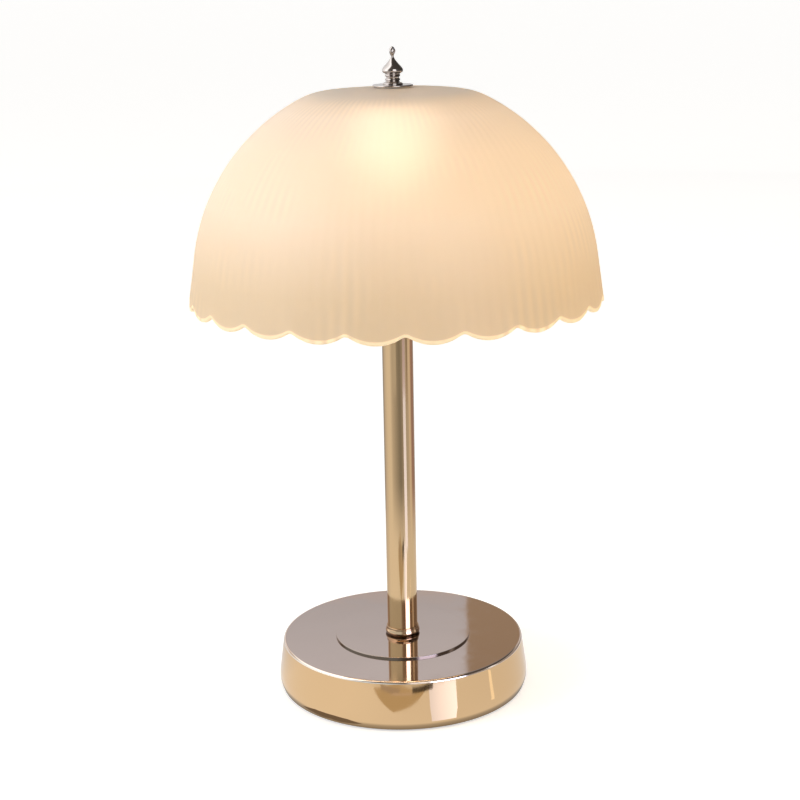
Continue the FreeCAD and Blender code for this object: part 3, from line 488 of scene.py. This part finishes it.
def grey(strength):
    """A strength as a grey, for a colour ramp."""
    return strength, strength, strength, 1


def painted_inside_glow(tree, rise):
    """A glow painted on the glass for the light that wanders inside the dome: strongest level with the
    lamp, none at the crown.
    """
    stops = [(spot, grey(strength)) for spot, strength in INSIDE_GLOW_PAINTED]
    return ramp_between(tree, rise, grey(RIM_LIGHT), stops, grey(CROWN_LIGHT))


def painted_streaks(tree, place):
    """Painted streaks of glow along the grooves of the mould, where thinner glass lets more light
    through, only in patches.
    """
    around = add(tree, "TexGradient", {"Vector": place}, gradient_type="RADIAL").outputs["Fac"]
    groove = reckon(tree, "COSINE", reckon(tree, "MULTIPLY", around, math.tau * RIBS))
    patch = stretch(tree, noise(tree, place, STREAK_PATCHES, 1.0), 0.5, 0.68, 0.0, STREAK)
    return reckon(tree, "MULTIPLY", groove, patch)


print("stops of the light inside:", len(INSIDE_GLOW_PAINTED) + 2)

# %% Body tint of the glass, with painted shade
# Painted shade: the rim's and the crown's tints are darker than the glass's own
RIM_SHADE_TINT, CROWN_SHADE_TINT, CLOUD_TINT = "#DECCAE", "#CAB8A4", "#E8D8C8"
CLOUDS = marks(71.4)


def tint_with_painted_shade(tree, place, rise, tint):
    """Painted shade: greyer at the crown and darker towards the rim, with clouds of tone in the glass.
    """
    stops = [(0.2, "#E2D2B6"), (0.5, tint), (0.76, tint), (0.9, "#EDE2D4"), (0.975, "#DED0BE")]
    clear_body = ramp_between(tree, rise, colour(RIM_SHADE_TINT),
                              [(spot, colour(text)) for spot, text in stops], colour(CROWN_SHADE_TINT))
    cloud = stretch(tree, noise(tree, place, CLOUDS, 3.0), 0.0, 1.0, 0.85, 1.0)
    return blend(tree, cloud, colour(CLOUD_TINT), clear_body)


print("tint of the rim", RIM_SHADE_TINT, "and of the crown", CROWN_SHADE_TINT)

# %% Frosted glass material
RIM_HEIGHT, CROWN_HEIGHT = 0.245, 0.377
MILKY_SIDE, MILKY_SHOULDER = 0.22, 0.17
THICK_CROWN = 0.3
# The acid's grit is a few hundredths of a millimetre wide. It is drawn at half a millimetre
ACID_GRIT = marks(0.5556)


def frosted_glass(name, tint, glow_tint, glow, clear_share):
    """Satin opal glass: a milky body, a rough clear share, and a painted glow for the light that
    wanders inside.
    """
    material, tree, output = new_material(name)
    place = add(tree, "TexCoord").outputs["Object"]
    height = add(tree, "SeparateXYZ", {"Vector": place}).outputs["Z"]
    rise = stretch(tree, height, RIM_HEIGHT, CROWN_HEIGHT)
    # Less light gets through where the glass is thick: at the crown, and a little at the shoulder
    opening = stretch(tree, rise, 0.94, 0.98, 1.0, THICK_CROWN)
    milky = reckon(tree, "MULTIPLY", opening,
                   stretch(tree, rise, 0.72, 0.92, MILKY_SIDE, MILKY_SHOULDER))
    light = reckon(tree, "ADD", painted_inside_glow(tree, rise), painted_streaks(tree, place))
    skin = add(tree, "BsdfPrincipled", {
        "Base Color": tint_with_painted_shade(tree, place, rise, tint), "Roughness": 0.50, "IOR": 1.45,
        "Transmission Weight": reckon(tree, "MULTIPLY", opening, clear_share),
        "Specular IOR Level": 0.3, "Emission Color": colour(glow_tint),
        "Emission Strength": reckon(tree, "MULTIPLY", light, glow),
        "Normal": bumps(tree, noise(tree, place, ACID_GRIT, 2.0), 0.15, 0.1)})
    body = add(tree, "BsdfTranslucent", {"Color": colour("#FFF4E6")})
    both = add(tree, "MixShader", {"Fac": milky, 1: skin.outputs[0], 2: body.outputs[0]})
    connect(tree, both, output)
    return material


# Both glasses have a painted glow; the rim's is stronger, a painted glow along the cut edge
shade_glass = frosted_glass("frosted_opal_glass_painted_glow", "#F2E6D6", "#FFDA9C", 0.30, 0.30)
rim_glass_painted_glow = frosted_glass("fire_polished_glass_rim_painted_glow", "#FFF4D4", "#FFEFC4", 1.7, 0.2)
make_piece(shade, "ribbed_shade", "shade", [shade_glass, rim_glass_painted_glow], ["shade_glass"],
           crease=50)

# %% [markdown]
# ## Washer, gaskets and finial
#
# A soft ring keeps metal off the glass, a thin washer spreads the load, and the finial clamps both.
# The finial is turned brass with chrome on it: a foot, two beads, a bulge, a long hollow cone and a
# small pointed ball with twisted grooves. The grooves are cut into the turned ball by drawing each
# vertex in by an amount that changes with its angle and its height.

# %% Soft materials


def soft_material(name, tint, second_tint, roughness, grain):
    """A moulded or pressed soft material: a fine uneven grain and a slight drift of tone."""
    material, tree, output = new_material(name)
    drift = noise(tree, add(tree, "TexCoord").outputs["Object"], marks(grain), 4.0)
    surface = add(tree, "BsdfPrincipled", {
        "Base Color": blend(tree, drift, colour(tint), colour(second_tint)),
        "Roughness": roughness, "Normal": bumps(tree, drift, 0.3, 0.2)})
    connect(tree, surface, output)
    return material


silicone = soft_material("clear_silicone_ring", "#E6E2D8", "#D8D2C6", 0.45, 1.667)
print("soft material:", silicone.name)

# %% Washer and gaskets
upper_gasket = turn([(3.5, 376.2), (10.5, 376.2, 0.2), (10.5, 377.0, 0.2), (3.5, 377.0)], sides=96)
make_piece(upper_gasket, "gasket_over_glass", "shade", [silicone],
           ["shade_gasket_upper"])
lower_gasket = turn([(3.5, 372.2), (9.0, 372.2, 0.2), (9.0, 373.2, 0.2), (3.5, 373.2)], sides=96)
make_piece(lower_gasket, "gasket_under_glass", "shade", [silicone],
           ["shade_gasket_lower"])
washer = turn([(3.3, 377.0), (12.0, 377.0, 0.3), (12.0, 378.0, 0.4), (3.3, 378.0, 0.1)])
make_piece(washer, "crown_washer", "shade", [bright_chrome], ["shade_washer"])

# %% Finial outline
FOOT = 378.0
FINIAL_LINE = [
    (3.05, 0), (6.0, 0, 0.2), (6.0, 0.8, 0.2), (4.4, 1.5), (3.95, 2.1), (4.35, 2.5), (4.6, 2.9),
    (4.35, 3.3), (3.85, 3.8), (3.9, 4.4), (4.4, 4.8), (4.65, 5.2), (4.4, 5.6), (4.2, 6.0),
    (5.2, 6.7), (6.1, 7.3, 0.2), (6.25, 7.9), (6.2, 8.7), (5.9, 9.4), (5.3, 10.2), (4.6, 11.0),
    (3.7, 11.9), (2.85, 12.9), (2.1, 13.8), (1.5, 14.7), (1.0, 15.7), (0.85, 16.4), (1.1, 17.0),
    (1.6, 17.9), (1.9, 18.8), (1.95, 19.6), (1.75, 20.4), (1.3, 21.2), (0.7, 21.75), (0.0, 22.0),
    (0.0, 9.0), (3.05, 9.0),
]
finial = turn([(radius, FOOT + height, *rounded) for radius, height, *rounded in FINIAL_LINE],
              sides=96)
print("corners of the finial:", len(FINIAL_LINE))

# %% Twisted tip
GROOVES, TWIST, GROOVE_DEPTH = 3, 0.6, 0.22
for vert in finial.verts:
    height, radius = vert.co.z / MM - FOOT, vert.co.xy.length / MM
    ball = fade(height, 16.4, 17.6) * (1 - fade(height, 21.0, 22.0))
    if radius > 0.01 and ball > 0:
        around = math.atan2(vert.co.y, vert.co.x) + height * TWIST
        groove = 0.5 + 0.5 * math.cos(GROOVES * around)
        pull = 1 - GROOVE_DEPTH * ball * groove ** 3
        vert.co.x *= pull
        vert.co.y *= pull
make_piece(finial, "finial_knob", "finial", [bright_chrome], ["finial"], crease=35)

# %% [markdown]
# ## The lamp
#
# A small round filament-type lamp with a frosted bulb stands on the axis, close under the crown.
# Its glass is drawn as a ball that flows into a neck, and it shines: the bright spot that the frosted
# shade shows comes from it, while the shade's wider glow is painted on the glass. Looked at directly,
# as from below or with the shade lifted, so much light would be a white hole in a white room. So the
# camera sees it at a plain level, as warm glass.

# %% Light of the lamp
# Each holds two heights in metres and the levels of light at them
SHINES, LOOKS = (0.322, 0.352, 4.0, 16.5), (0.300, 0.365, 0.04, 0.22)
lit_glass, tree, output = new_material("frosted_lamp_glass_lit")
place = add(tree, "TexCoord").outputs["Object"]
height = add(tree, "SeparateXYZ", {"Vector": place}).outputs["Z"]
looked_at = add(tree, "LightPath").outputs["Is Camera Ray"]
level_seen = blend(tree, looked_at, stretch(tree, height, *SHINES),
                   stretch(tree, height, *LOOKS), kind="FLOAT")
shine = add(tree, "BsdfPrincipled", {
    "Base Color": colour("#FFD99C"), "Roughness": 0.5, "Emission Color": colour("#FFF4DE"),
    "Emission Strength": level_seen})
connect(tree, shine, output)
print("the lamp shines at", SHINES[-1], "and looks like", LOOKS[-1])

# %% Lamp glass
GLOBE_Z, GLOBE_RADIUS, GLOBE_TURN = 342.0, 22.5, math.radians(140)
NECK_RADIUS, NECK_TOP, NECK_FOOT = 12.5, 307.7, 300.7

globe = bmesh.new()
last = globe.verts.new((0, 0, (GLOBE_Z + GLOBE_RADIUS) * MM))
last = bend(globe, last, (0, 0, GLOBE_Z), GLOBE_TURN, 28)
last = run(globe, last, (NECK_RADIUS - last.co.x / MM, 0, NECK_TOP - last.co.z / MM), 6)
last = run(globe, last, (0, 0, NECK_FOOT - NECK_TOP), 2)
last = run(globe, last, (-NECK_RADIUS, 0, 0), 3)
spin_once(globe, 96)
bmesh.ops.remove_doubles(globe, verts=globe.verts, dist=SAME_PLACE)
bmesh.ops.recalc_face_normals(globe, faces=globe.faces)
make_piece(globe, "lamp_globe", "bulb", [lit_glass], ["bulb_glass"])

# %% [markdown]
# ## Fittings that the glass hides
#
# The harp, the lampholder and the parts in the base are simple bent, turned and pressed pieces, and
# their solids already have the right shape. A copy of each is merged, its flat triangles are
# joined, and its sharp edges get the small bevel that the real part has, which is what catches
# light on it.

# %% Soften a fitting
STILL_FLAT, SHARP = math.radians(0.5), math.radians(32)


def soften(node, body, material, break_edge, name):
    """A merged copy of a node's solid with broken edges, which stands for the node."""
    bm = bmesh.new()
    bm.from_mesh(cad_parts[node].data)
    bmesh.ops.remove_doubles(bm, verts=bm.verts, dist=SAME_PLACE)
    bmesh.ops.dissolve_limit(bm, angle_limit=STILL_FLAT, verts=bm.verts, edges=bm.edges)
    if break_edge:
        sharp = [edge for edge in bm.edges
                 if len(edge.link_faces) == 2 and edge.calc_face_angle(0) > SHARP]
        bmesh.ops.bevel(bm, geom=sharp, affect="EDGES", offset=break_edge * MM, segments=2,
                        profile=0.5, material=-1, clamp_overlap=True)
    for face in bm.faces:
        face.material_index = 0
    make_piece(bm, name, body, [material], [node])


print("edges sharper than", round(math.degrees(SHARP)), "degrees get broken")

# %% [markdown]
# ## Finishes of the fittings
#
# Lacquered brass, zinc-plated steel, dark phenolic moulding, black nylon, iron with black paint and
# dense foam: each differs by its tone, its gloss and the width of its marks, which comes last and is
# in millimetres. Real foam, nylon and powder paint have a finer grain than is drawn here.

# %% Metals of the fittings


def worked_metal(name, tint, second_tint, gloss, spread, grain, metallic=1.0):
    """A metal whose making shows: marks of a given width move both its tone and its gloss."""
    material, tree, output = new_material(name)
    worked = noise(tree, add(tree, "TexCoord").outputs["Object"], marks(grain), 5.0, 0.6)
    metal = add(tree, "BsdfPrincipled", {
        "Base Color": blend(tree, worked, colour(tint), colour(second_tint)),
        "Metallic": metallic,
        "Roughness": stretch(tree, worked, 0.0, 1.0, gloss, gloss + spread),
        "Normal": bumps(tree, worked, 0.2, 0.1)})
    connect(tree, metal, output)
    return material


brass = worked_metal("lacquered_brass_pressed", "#D9B36A", "#C79A4E", 0.18, 0.15, 4.545)
zinc = worked_metal("zinc_plated_steel", "#B9B9B4", "#9FA0A0", 0.30, 0.20, 3.333)
aluminium = worked_metal("rolled_aluminium_screw", "#D5D6D8", "#BFC0C2", 0.25, 0.15, 3.846)
iron = worked_metal("cast_iron_black_paint", "#242426", "#303033", 0.55, 0.25, 2.5, metallic=0.0)
powder = worked_metal("black_powder_coated_steel", "#19191B", "#232325", 0.50, 0.15, 1.111,
                      metallic=0.0)
print("metals of the fittings:", [metal.name for metal in (brass, zinc, aluminium, iron, powder)])

# %% Plastics, foam and glass of the fittings
phenolic = soft_material("phenolic_moulded_brown", "#2A1A12", "#38241A", 0.22, 8.333)
nylon = soft_material("nylon_moulded_black", "#161617", "#1F1F21", 0.42, 1.429)
foam = soft_material("closed_foam_pad_black", "#1B1B1C", "#2B2B2C", 0.95, 0.6667)
black_glass = soft_material("black_glass_bead", "#0C0B10", "#15131B", 0.08, 6.667)
print("soft fittings:", [soft.name for soft in (phenolic, nylon, foam, black_glass)])

# %% Place the fittings
BRASS_PARTS = ["harp", "harp_saddle", "harp_stud", "lock_nut", "lampholder_cap", "lampholder_shell",
               "centre_contact", "terminal_screws"]
ZINC_PARTS = ["centre_rod", "rod_nut", "rod_washer", "cap_screw", "plate_screws"]
for node in BRASS_PARTS:
    soften(node, "stand", brass, 0.15, node + "_finished")
for node in ZINC_PARTS:
    soften(node, "stand", zinc, 0.15, node + "_finished")
soften("harp_sleeve_left", "sleeve_left", brass, 0.15, "sleeve_left_finished")
soften("harp_sleeve_right", "sleeve_right", brass, 0.15, "sleeve_right_finished")
soften("bulb_contact", "bulb", brass, 0.2, "lamp_contact_finished")
soften("bulb_cap", "bulb", aluminium, 0.0, "lamp_cap_finished")
soften("bulb_insulator", "bulb", black_glass, 0.2, "lamp_bead_finished")
soften("screw_shell", "stand", aluminium, 0.0, "screw_shell_finished")
soften("switch_body", "stand", phenolic, 0.3, "switch_body_finished")
soften("switch_key", "key", nylon, 0.4, "switch_key_finished")
soften("cord_grommet", "stand", nylon, 0.3, "cord_grommet_finished")
soften("base_weight", "stand", iron, 0.6, "base_weight_finished")
soften("base_plate", "stand", powder, 0.2, "base_plate_finished")
soften("base_pad", "stand", foam, 0.3, "base_pad_finished")

# %% [markdown]
# ## Floor and white surround
#
# The lamp stands on a pale floor in a white studio. The floor shows the lamp's soft shadow; what
# the camera, a mirror or the glass sees beyond it is white. The Light Path node tells these rays
# from the ones that light the object, so the white needs no extra light on the lamp.

# %% Rays and stage pieces


def seen_directly(tree):
    """1 for rays of the camera, of mirrors and through glass, 0 for the rays that carry light."""
    rays = add(tree, "LightPath").outputs
    first = reckon(tree, "MAXIMUM", rays["Is Camera Ray"], rays["Is Glossy Ray"])
    return reckon(tree, "MAXIMUM", first, rays["Is Transmission Ray"])


def stage_piece(bm, name, material):
    """Floor and cards: part of the studio, not of the lamp."""
    mesh = bpy.data.meshes.new(name)
    bm.to_mesh(mesh)
    bm.free()
    mesh.materials.append(material)
    piece = bpy.data.objects.new(name, mesh)
    bpy.context.collection.objects.link(piece)
    return piece


# %% Floor
FLOOR_GAP, FLOOR_SIZE, FLOOR_LIFT = 0.0002, 20.0, 0.55
floor_paint, tree, output = new_material("pale_studio_floor")
paint = add(tree, "BsdfPrincipled", {
    "Base Color": colour("#E4E2DE"), "Roughness": 0.9, "Emission Color": colour("#FFFFFF"),
    "Emission Strength": reckon(tree, "MULTIPLY", seen_directly(tree), FLOOR_LIFT)})
# Seen from below the floor is clear, and so it is to the light that the pad's underside gathers
path = add(tree, "LightPath").outputs
below = add(tree, "NewGeometry").outputs["Backfacing"]
looked_through = reckon(tree, "MULTIPLY", below, path["Is Camera Ray"])
from_the_pad = reckon(tree, "LESS_THAN", path["Ray Length"], 3 * FLOOR_GAP)
gathered = reckon(tree, "MULTIPLY", from_the_pad, path["Is Diffuse Ray"])
clear = reckon(tree, "MAXIMUM", looked_through, gathered)
nothing = add(tree, "BsdfTransparent", {"Color": colour("#FFFFFF")})
one_sided = add(tree, "MixShader", {"Fac": clear, 1: paint.outputs[0], 2: nothing.outputs[0]})
connect(tree, one_sided, output)

ground = bmesh.new()
bmesh.ops.create_grid(ground, x_segments=1, y_segments=1, size=FLOOR_SIZE)
bmesh.ops.translate(ground, verts=ground.verts, vec=(0, 0, -FLOOR_GAP))
print("floor:", stage_piece(ground, "Floor", floor_paint).name)

# %% White surround
ROOM_LIGHT, ROOM_WHITE = 0.5, 1.0
world = bpy.data.worlds.new("Studio")
bpy.context.scene.world = world
world.use_nodes = True
sky = world.node_tree
sky.nodes.clear()
background = add(sky, "Background", {
    "Color": colour("#FFFFFF"),
    "Strength": stretch(sky, seen_directly(sky), 0.0, 1.0, ROOM_LIGHT, ROOM_WHITE)})
surround = add(sky, "OutputWorld")
sky.links.new(background.outputs[0], surround.inputs["Surface"])
print("the room lights with", ROOM_LIGHT, "and looks like", ROOM_WHITE)

# %% [markdown]
# ## Cards for the mirrors
#
# Polished metal has no look of its own: in a bare white room it would be a flat colour. A
# photographer puts cards and a window round it, and so do these cells. The base's side and the
# stem mirror the floor, near the foot of the lamp and up to a metre and more away, so some cards lie
# there. The flat top mirrors the lower wall behind the lamp. The finial mirrors a ring that stands
# close round it, and the higher walls. Only mirrors see any of these. On a ring, a tone runs round
# the lamp in a colour ramp, with its angles counted from the front to the right.

# %% Card materials
PAPER, DAYLIGHT, DARK, TAN, COOL = "#FFFFFF", "#CDD7FF", "#FFF0E4", "#C6AE92", "#ECFBFF"
PINKISH, ROSE = "#FFF7F3", "#FFDDE2"
BRIGHTEST = 11.0


def round_tones(tree, tones):
    """A colour that runs round the lamp. Each tone is an angle, a colour and a strength."""
    place = add(tree, "TexCoord").outputs["Object"]
    around = add(tree, "TexGradient", {"Vector": place}, gradient_type="RADIAL").outputs["Fac"]
    ramp = add(tree, "ValToRGB", {"Fac": around})
    stops = ramp.color_ramp.elements
    stops.remove(stops[1])
    for number, (angle, tint, strength) in enumerate(tones):
        stop = stops.new(0.25 + angle / 360) if number else stops[0]
        stop.position = 0.25 + angle / 360
        stop.color = tuple(share * strength / BRIGHTEST for share in colour(tint)[:3]) + (1,)
    return ramp.outputs["Color"]


def only_for_mirrors(card):
    """Hides a card from the camera and from the rays that light the object."""
    card.visible_camera = card.visible_diffuse = card.visible_transmission = False
    card.visible_shadow = card.visible_volume_scatter = False


print("the brightest card has a strength of", BRIGHTEST)

# %% Tones of the floor
NEAR_TONES = [
    (-90, PAPER, 0.94), (-40, PAPER, 0.95), (0, PAPER, 0.88), (60, PAPER, 0.84),
    (180, PAPER, 0.8), (230, PAPER, 0.7), (269, PAPER, 0.94)]
FAR_TONES = [
    (-90, PAPER, 0.88), (-66, PAPER, 0.9), (-48, PAPER, 0.65), (-26, PAPER, 0.48),
    (-2, PAPER, 0.32), (10, PAPER, 0.27), (22, PAPER, 0.35), (35, PAPER, 0.45),
    (58, PAPER, 0.55), (76, PAPER, 0.6), (86, PINKISH, 0.85), (96, PINKISH, 0.75),
    (110, ROSE, 0.38), (135, ROSE, 0.4), (150, PAPER, 0.42),
    (180, PAPER, 0.6), (210, PAPER, 0.35), (240, PAPER, 0.7), (269, PAPER, 0.88)]
NEAR_ENDS, FAR_STARTS = 0.24, 0.44
# Right under the foot the cards are darker: a painted shadow of the base, which the foot mirrors
SHADOW_ENDS, LIGHT_STARTS, SHADOW = 0.078, 0.084, 0.35

floor_cards, tree, output = new_material("cards_on_the_floor")
spot = add(tree, "TexCoord").outputs["Object"]
reach = add(tree, "VectorMath", {0: spot}, operation="LENGTH").outputs["Value"]
away = stretch(tree, reach, NEAR_ENDS, FAR_STARTS, interpolation_type="SMOOTHSTEP")
tones = blend(tree, away, round_tones(tree, NEAR_TONES), round_tones(tree, FAR_TONES))
contact = stretch(tree, reach, SHADOW_ENDS, LIGHT_STARTS, BRIGHTEST * SHADOW, BRIGHTEST)
connect(tree, add(tree, "Emission", {"Color": tones, "Strength": contact}), output)
print("tones near the lamp:", len(NEAR_TONES), "and far from it:", len(FAR_TONES))

# %% A ring on the floor


def ring_between(start, end):
    """A full ring between two points of its outline, each a radius and a height in metres."""
    bm = bmesh.new()
    bm.edges.new([bm.verts.new((radius, 0, height)) for radius, height in (start, end)])
    spin_once(bm, 96)
    return bm


RING_HEIGHT, RING_INSIDE, RING_OUTSIDE = 0.0004, 0.0735, 1.9
floor_ring = ring_between((RING_INSIDE, RING_HEIGHT), (RING_OUTSIDE, RING_HEIGHT))
print("faces in the ring on the floor:", len(floor_ring.faces))
only_for_mirrors(stage_piece(floor_ring, "FloorCards", floor_cards))

# %% A flat card


def flat_card(name, corners, tint, strengths, height=None):
    """A card from its corners in mm, each with a strength. With a height it lies on the floor."""
    material, tree, output = new_material(name + "_card")
    shine = add(tree, "Attribute", attribute_name="shine").outputs["Fac"]
    connect(tree, add(tree, "Emission", {"Color": colour(tint), "Strength": shine}), output)
    bm = bmesh.new()
    layer = bm.verts.layers.float.new("shine")
    places = corners if height is None else [(*corner, height) for corner in corners]
    card = [bm.verts.new(Vector(place) * MM) for place in places]
    for vert, strength in zip(card, strengths):
        vert[layer] = strength
    bm.faces.new(card)
    if len(card) == 4:
        bmesh.ops.subdivide_edges(bm, edges=bm.edges[:], cuts=6, use_grid_fill=True)
    only_for_mirrors(stage_piece(bm, name, material))


def even(strength, corners=4):
    """The same strength for every corner."""
    return [strength] * corners


print("materials so far:", len(bpy.data.materials))

# %% Flat cards on the floor
flat_card("DaylightCard", [(20, -84), (98, -275), (165, -188), (38, -78)],
          "#D0DAFF", (1.7, 1.7, 2.6, 2.6), 0.8)
flat_card("FarDaylightCard", [(138, -220), (398, -636), (597, -454), (207, -157)],
          DAYLIGHT, (2.1, 1.7, 1.7, 2.1), 0.7)
flat_card("FarthestCard", [(398, -636), (882, -1214), (1258, -817), (597, -454)],
          "#E4DFFF", (0.95, 0.55, 0.55, 0.95), 0.7)
flat_card("NarrowDarkCard", [(618, -329), (1104, -587), (1189, -386), (666, -216)],
          DARK, (0.5, 0.05, 0.05, 0.5), 0.8)
flat_card("FarPaleCard", [(-480, -580), (-1200, -1450), (-460, -1820), (-190, -730)],
          PAPER, even(0.62), 0.8)
flat_card("ThinDaylightCard", [(82, -60), (185, -69), (180, -60), (82, -56)],
          "#FFFCF4", even(1.25), 0.8)
flat_card("TanCard", [(-18, -148), (-100, -232), (-30, -300), (66, -232), (12, -172)],
          "#C8BAA0", even(1.0, 5), 0.7)
flat_card("GreyCard", [(-75, -238), (-20, -228), (-8, -262), (-88, -270)], DARK, even(0.45), 0.9)
flat_card("MiddleCard", [(-44, -222), (34, -224), (22, -238), (-30, -236)], DARK, even(0.62), 1.0)
flat_card("DarkCard", [(25, -234), (92, -226), (112, -262), (30, -266)], DARK, even(0.08), 0.9)
flat_card("FarDarkCard", [(900, -700), (1350, -1050), (1700, -240), (1150, -160)],
          DARK, even(0.36), 0.9)
flat_card("FarLightCard", [(1000, 130), (1700, 220), (1600, 620), (940, 365)],
          DARK, even(1.0), 0.9)
# A dark sickle under the left of the foot: painted shade, which the foot mirrors
flat_card("SickleCard", [(-65.9, -44.5), (-62.4, -56.2), (-52.6, -67.4), (-39.4, -74.2),
                         (-26.0, -75.5), (-34.5, -70.8), (-46.2, -63.6), (-57.5, -53.6)],
          DARK, even(0.2, 8), 0.9)

# %% Wall of cards


def card_ring(name, start, end, tones):
    """A ring round the lamp that only mirrors see, with tones that run round it."""
    material, tree, output = new_material(name)
    tint = round_tones(tree, tones)
    connect(tree, add(tree, "Emission", {"Color": tint, "Strength": BRIGHTEST}), output)
    only_for_mirrors(stage_piece(ring_between(start, end), name, material))


WALL_TONES = [
    (-90, COOL, 1.15), (-12, COOL, 1.1), (2, DARK, 0.4), (24, DARK, 0.35), (28, DAYLIGHT, 10.0),
    (56, DAYLIGHT, 10.0), (60, DARK, 0.4), (84, DARK, 0.4), (88, PAPER, 1.3), (94, PAPER, 1.3),
    (98, DARK, 0.4), (140, DARK, 0.35), (156, PINKISH, 0.82), (215, PINKISH, 0.82), (230, TAN, 0.8),
    (250, COOL, 1.1), (269, COOL, 1.15)]
card_ring("WallCards", (2.6, 0.28), (2.6, 1.45), WALL_TONES)
flat_card("BackPaleCard", [(-1700, 2500, 980), (143, 2500, 980), (143, 2500, 1290),
                           (-1700, 2500, 1290)], "#F8FAFF", (0.80, 0.80, 1.06, 1.06))
flat_card("BackTanCard", [(146, 2500, 300), (1700, 2500, 300), (1700, 2500, 1700),
                          (146, 2500, 1700)], TAN, even(0.95))
print("tones of the wall:", len(WALL_TONES))

# %% Rings for the finial
# The finial stands higher than all the rest and sees rings of its own
FINIAL_TONES = [
    (-90, PAPER, 2.3), (-60, PAPER, 2.2), (-44, DARK, 0.2), (2, DARK, 0.12), (8, PAPER, 2.0),
    (38, PAPER, 2.0), (44, DARK, 0.1), (140, DARK, 0.08), (200, PAPER, 1.0), (269, PAPER, 1.9)]
card_ring("FinialLowCards", (2.6, 0.0), (2.6, 0.28), FINIAL_TONES)
card_ring("FinialCards", (0.6, 0.345), (0.6, 0.63), FINIAL_TONES)
card_ring("CeilingCards", (2.6, 1.45), (2.6, 2.4), FINIAL_TONES)
card_ring("RoofCards", (2.6, 2.4), (0.02, 2.4), FINIAL_TONES[:4] + FINIAL_TONES[6:])

# %% [markdown]
# ## Lights
#
# Two large soft lights shape the round parts: a cool one from the left, as from a window, and an
# amber one from the right, as from a lit room. The glass gets its cream left and its warm right from
# them. Mirrors don't see them, because the cards above are what the metal shows.

# %% Lights
LOOKED_AT = Vector((0, 0, 0.2))


def softbox(name, place, width, height, power, tint):
    """A rectangular lamp that looks at the middle of the object."""
    light = bpy.data.lights.new(name, "AREA")
    light.shape = "RECTANGLE"
    light.size, light.size_y = width, height
    light.energy = power
    light.color = colour(tint)[:3]
    holder = bpy.data.objects.new(name, light)
    bpy.context.collection.objects.link(holder)
    holder.location = place
    holder.visible_glossy = False
    holder.rotation_mode = "QUATERNION"
    holder.rotation_quaternion = (LOOKED_AT - Vector(place)).to_track_quat("-Z", "Y")
    print(name, power, "W")


softbox("KeyLight", (-2.2, -0.8, 1.2), 1.2, 1.2, 27, "#E8F0FF")
softbox("FillLight", (2.2, -0.7, 1.1), 1.0, 1.4, 15, "#FFD688")
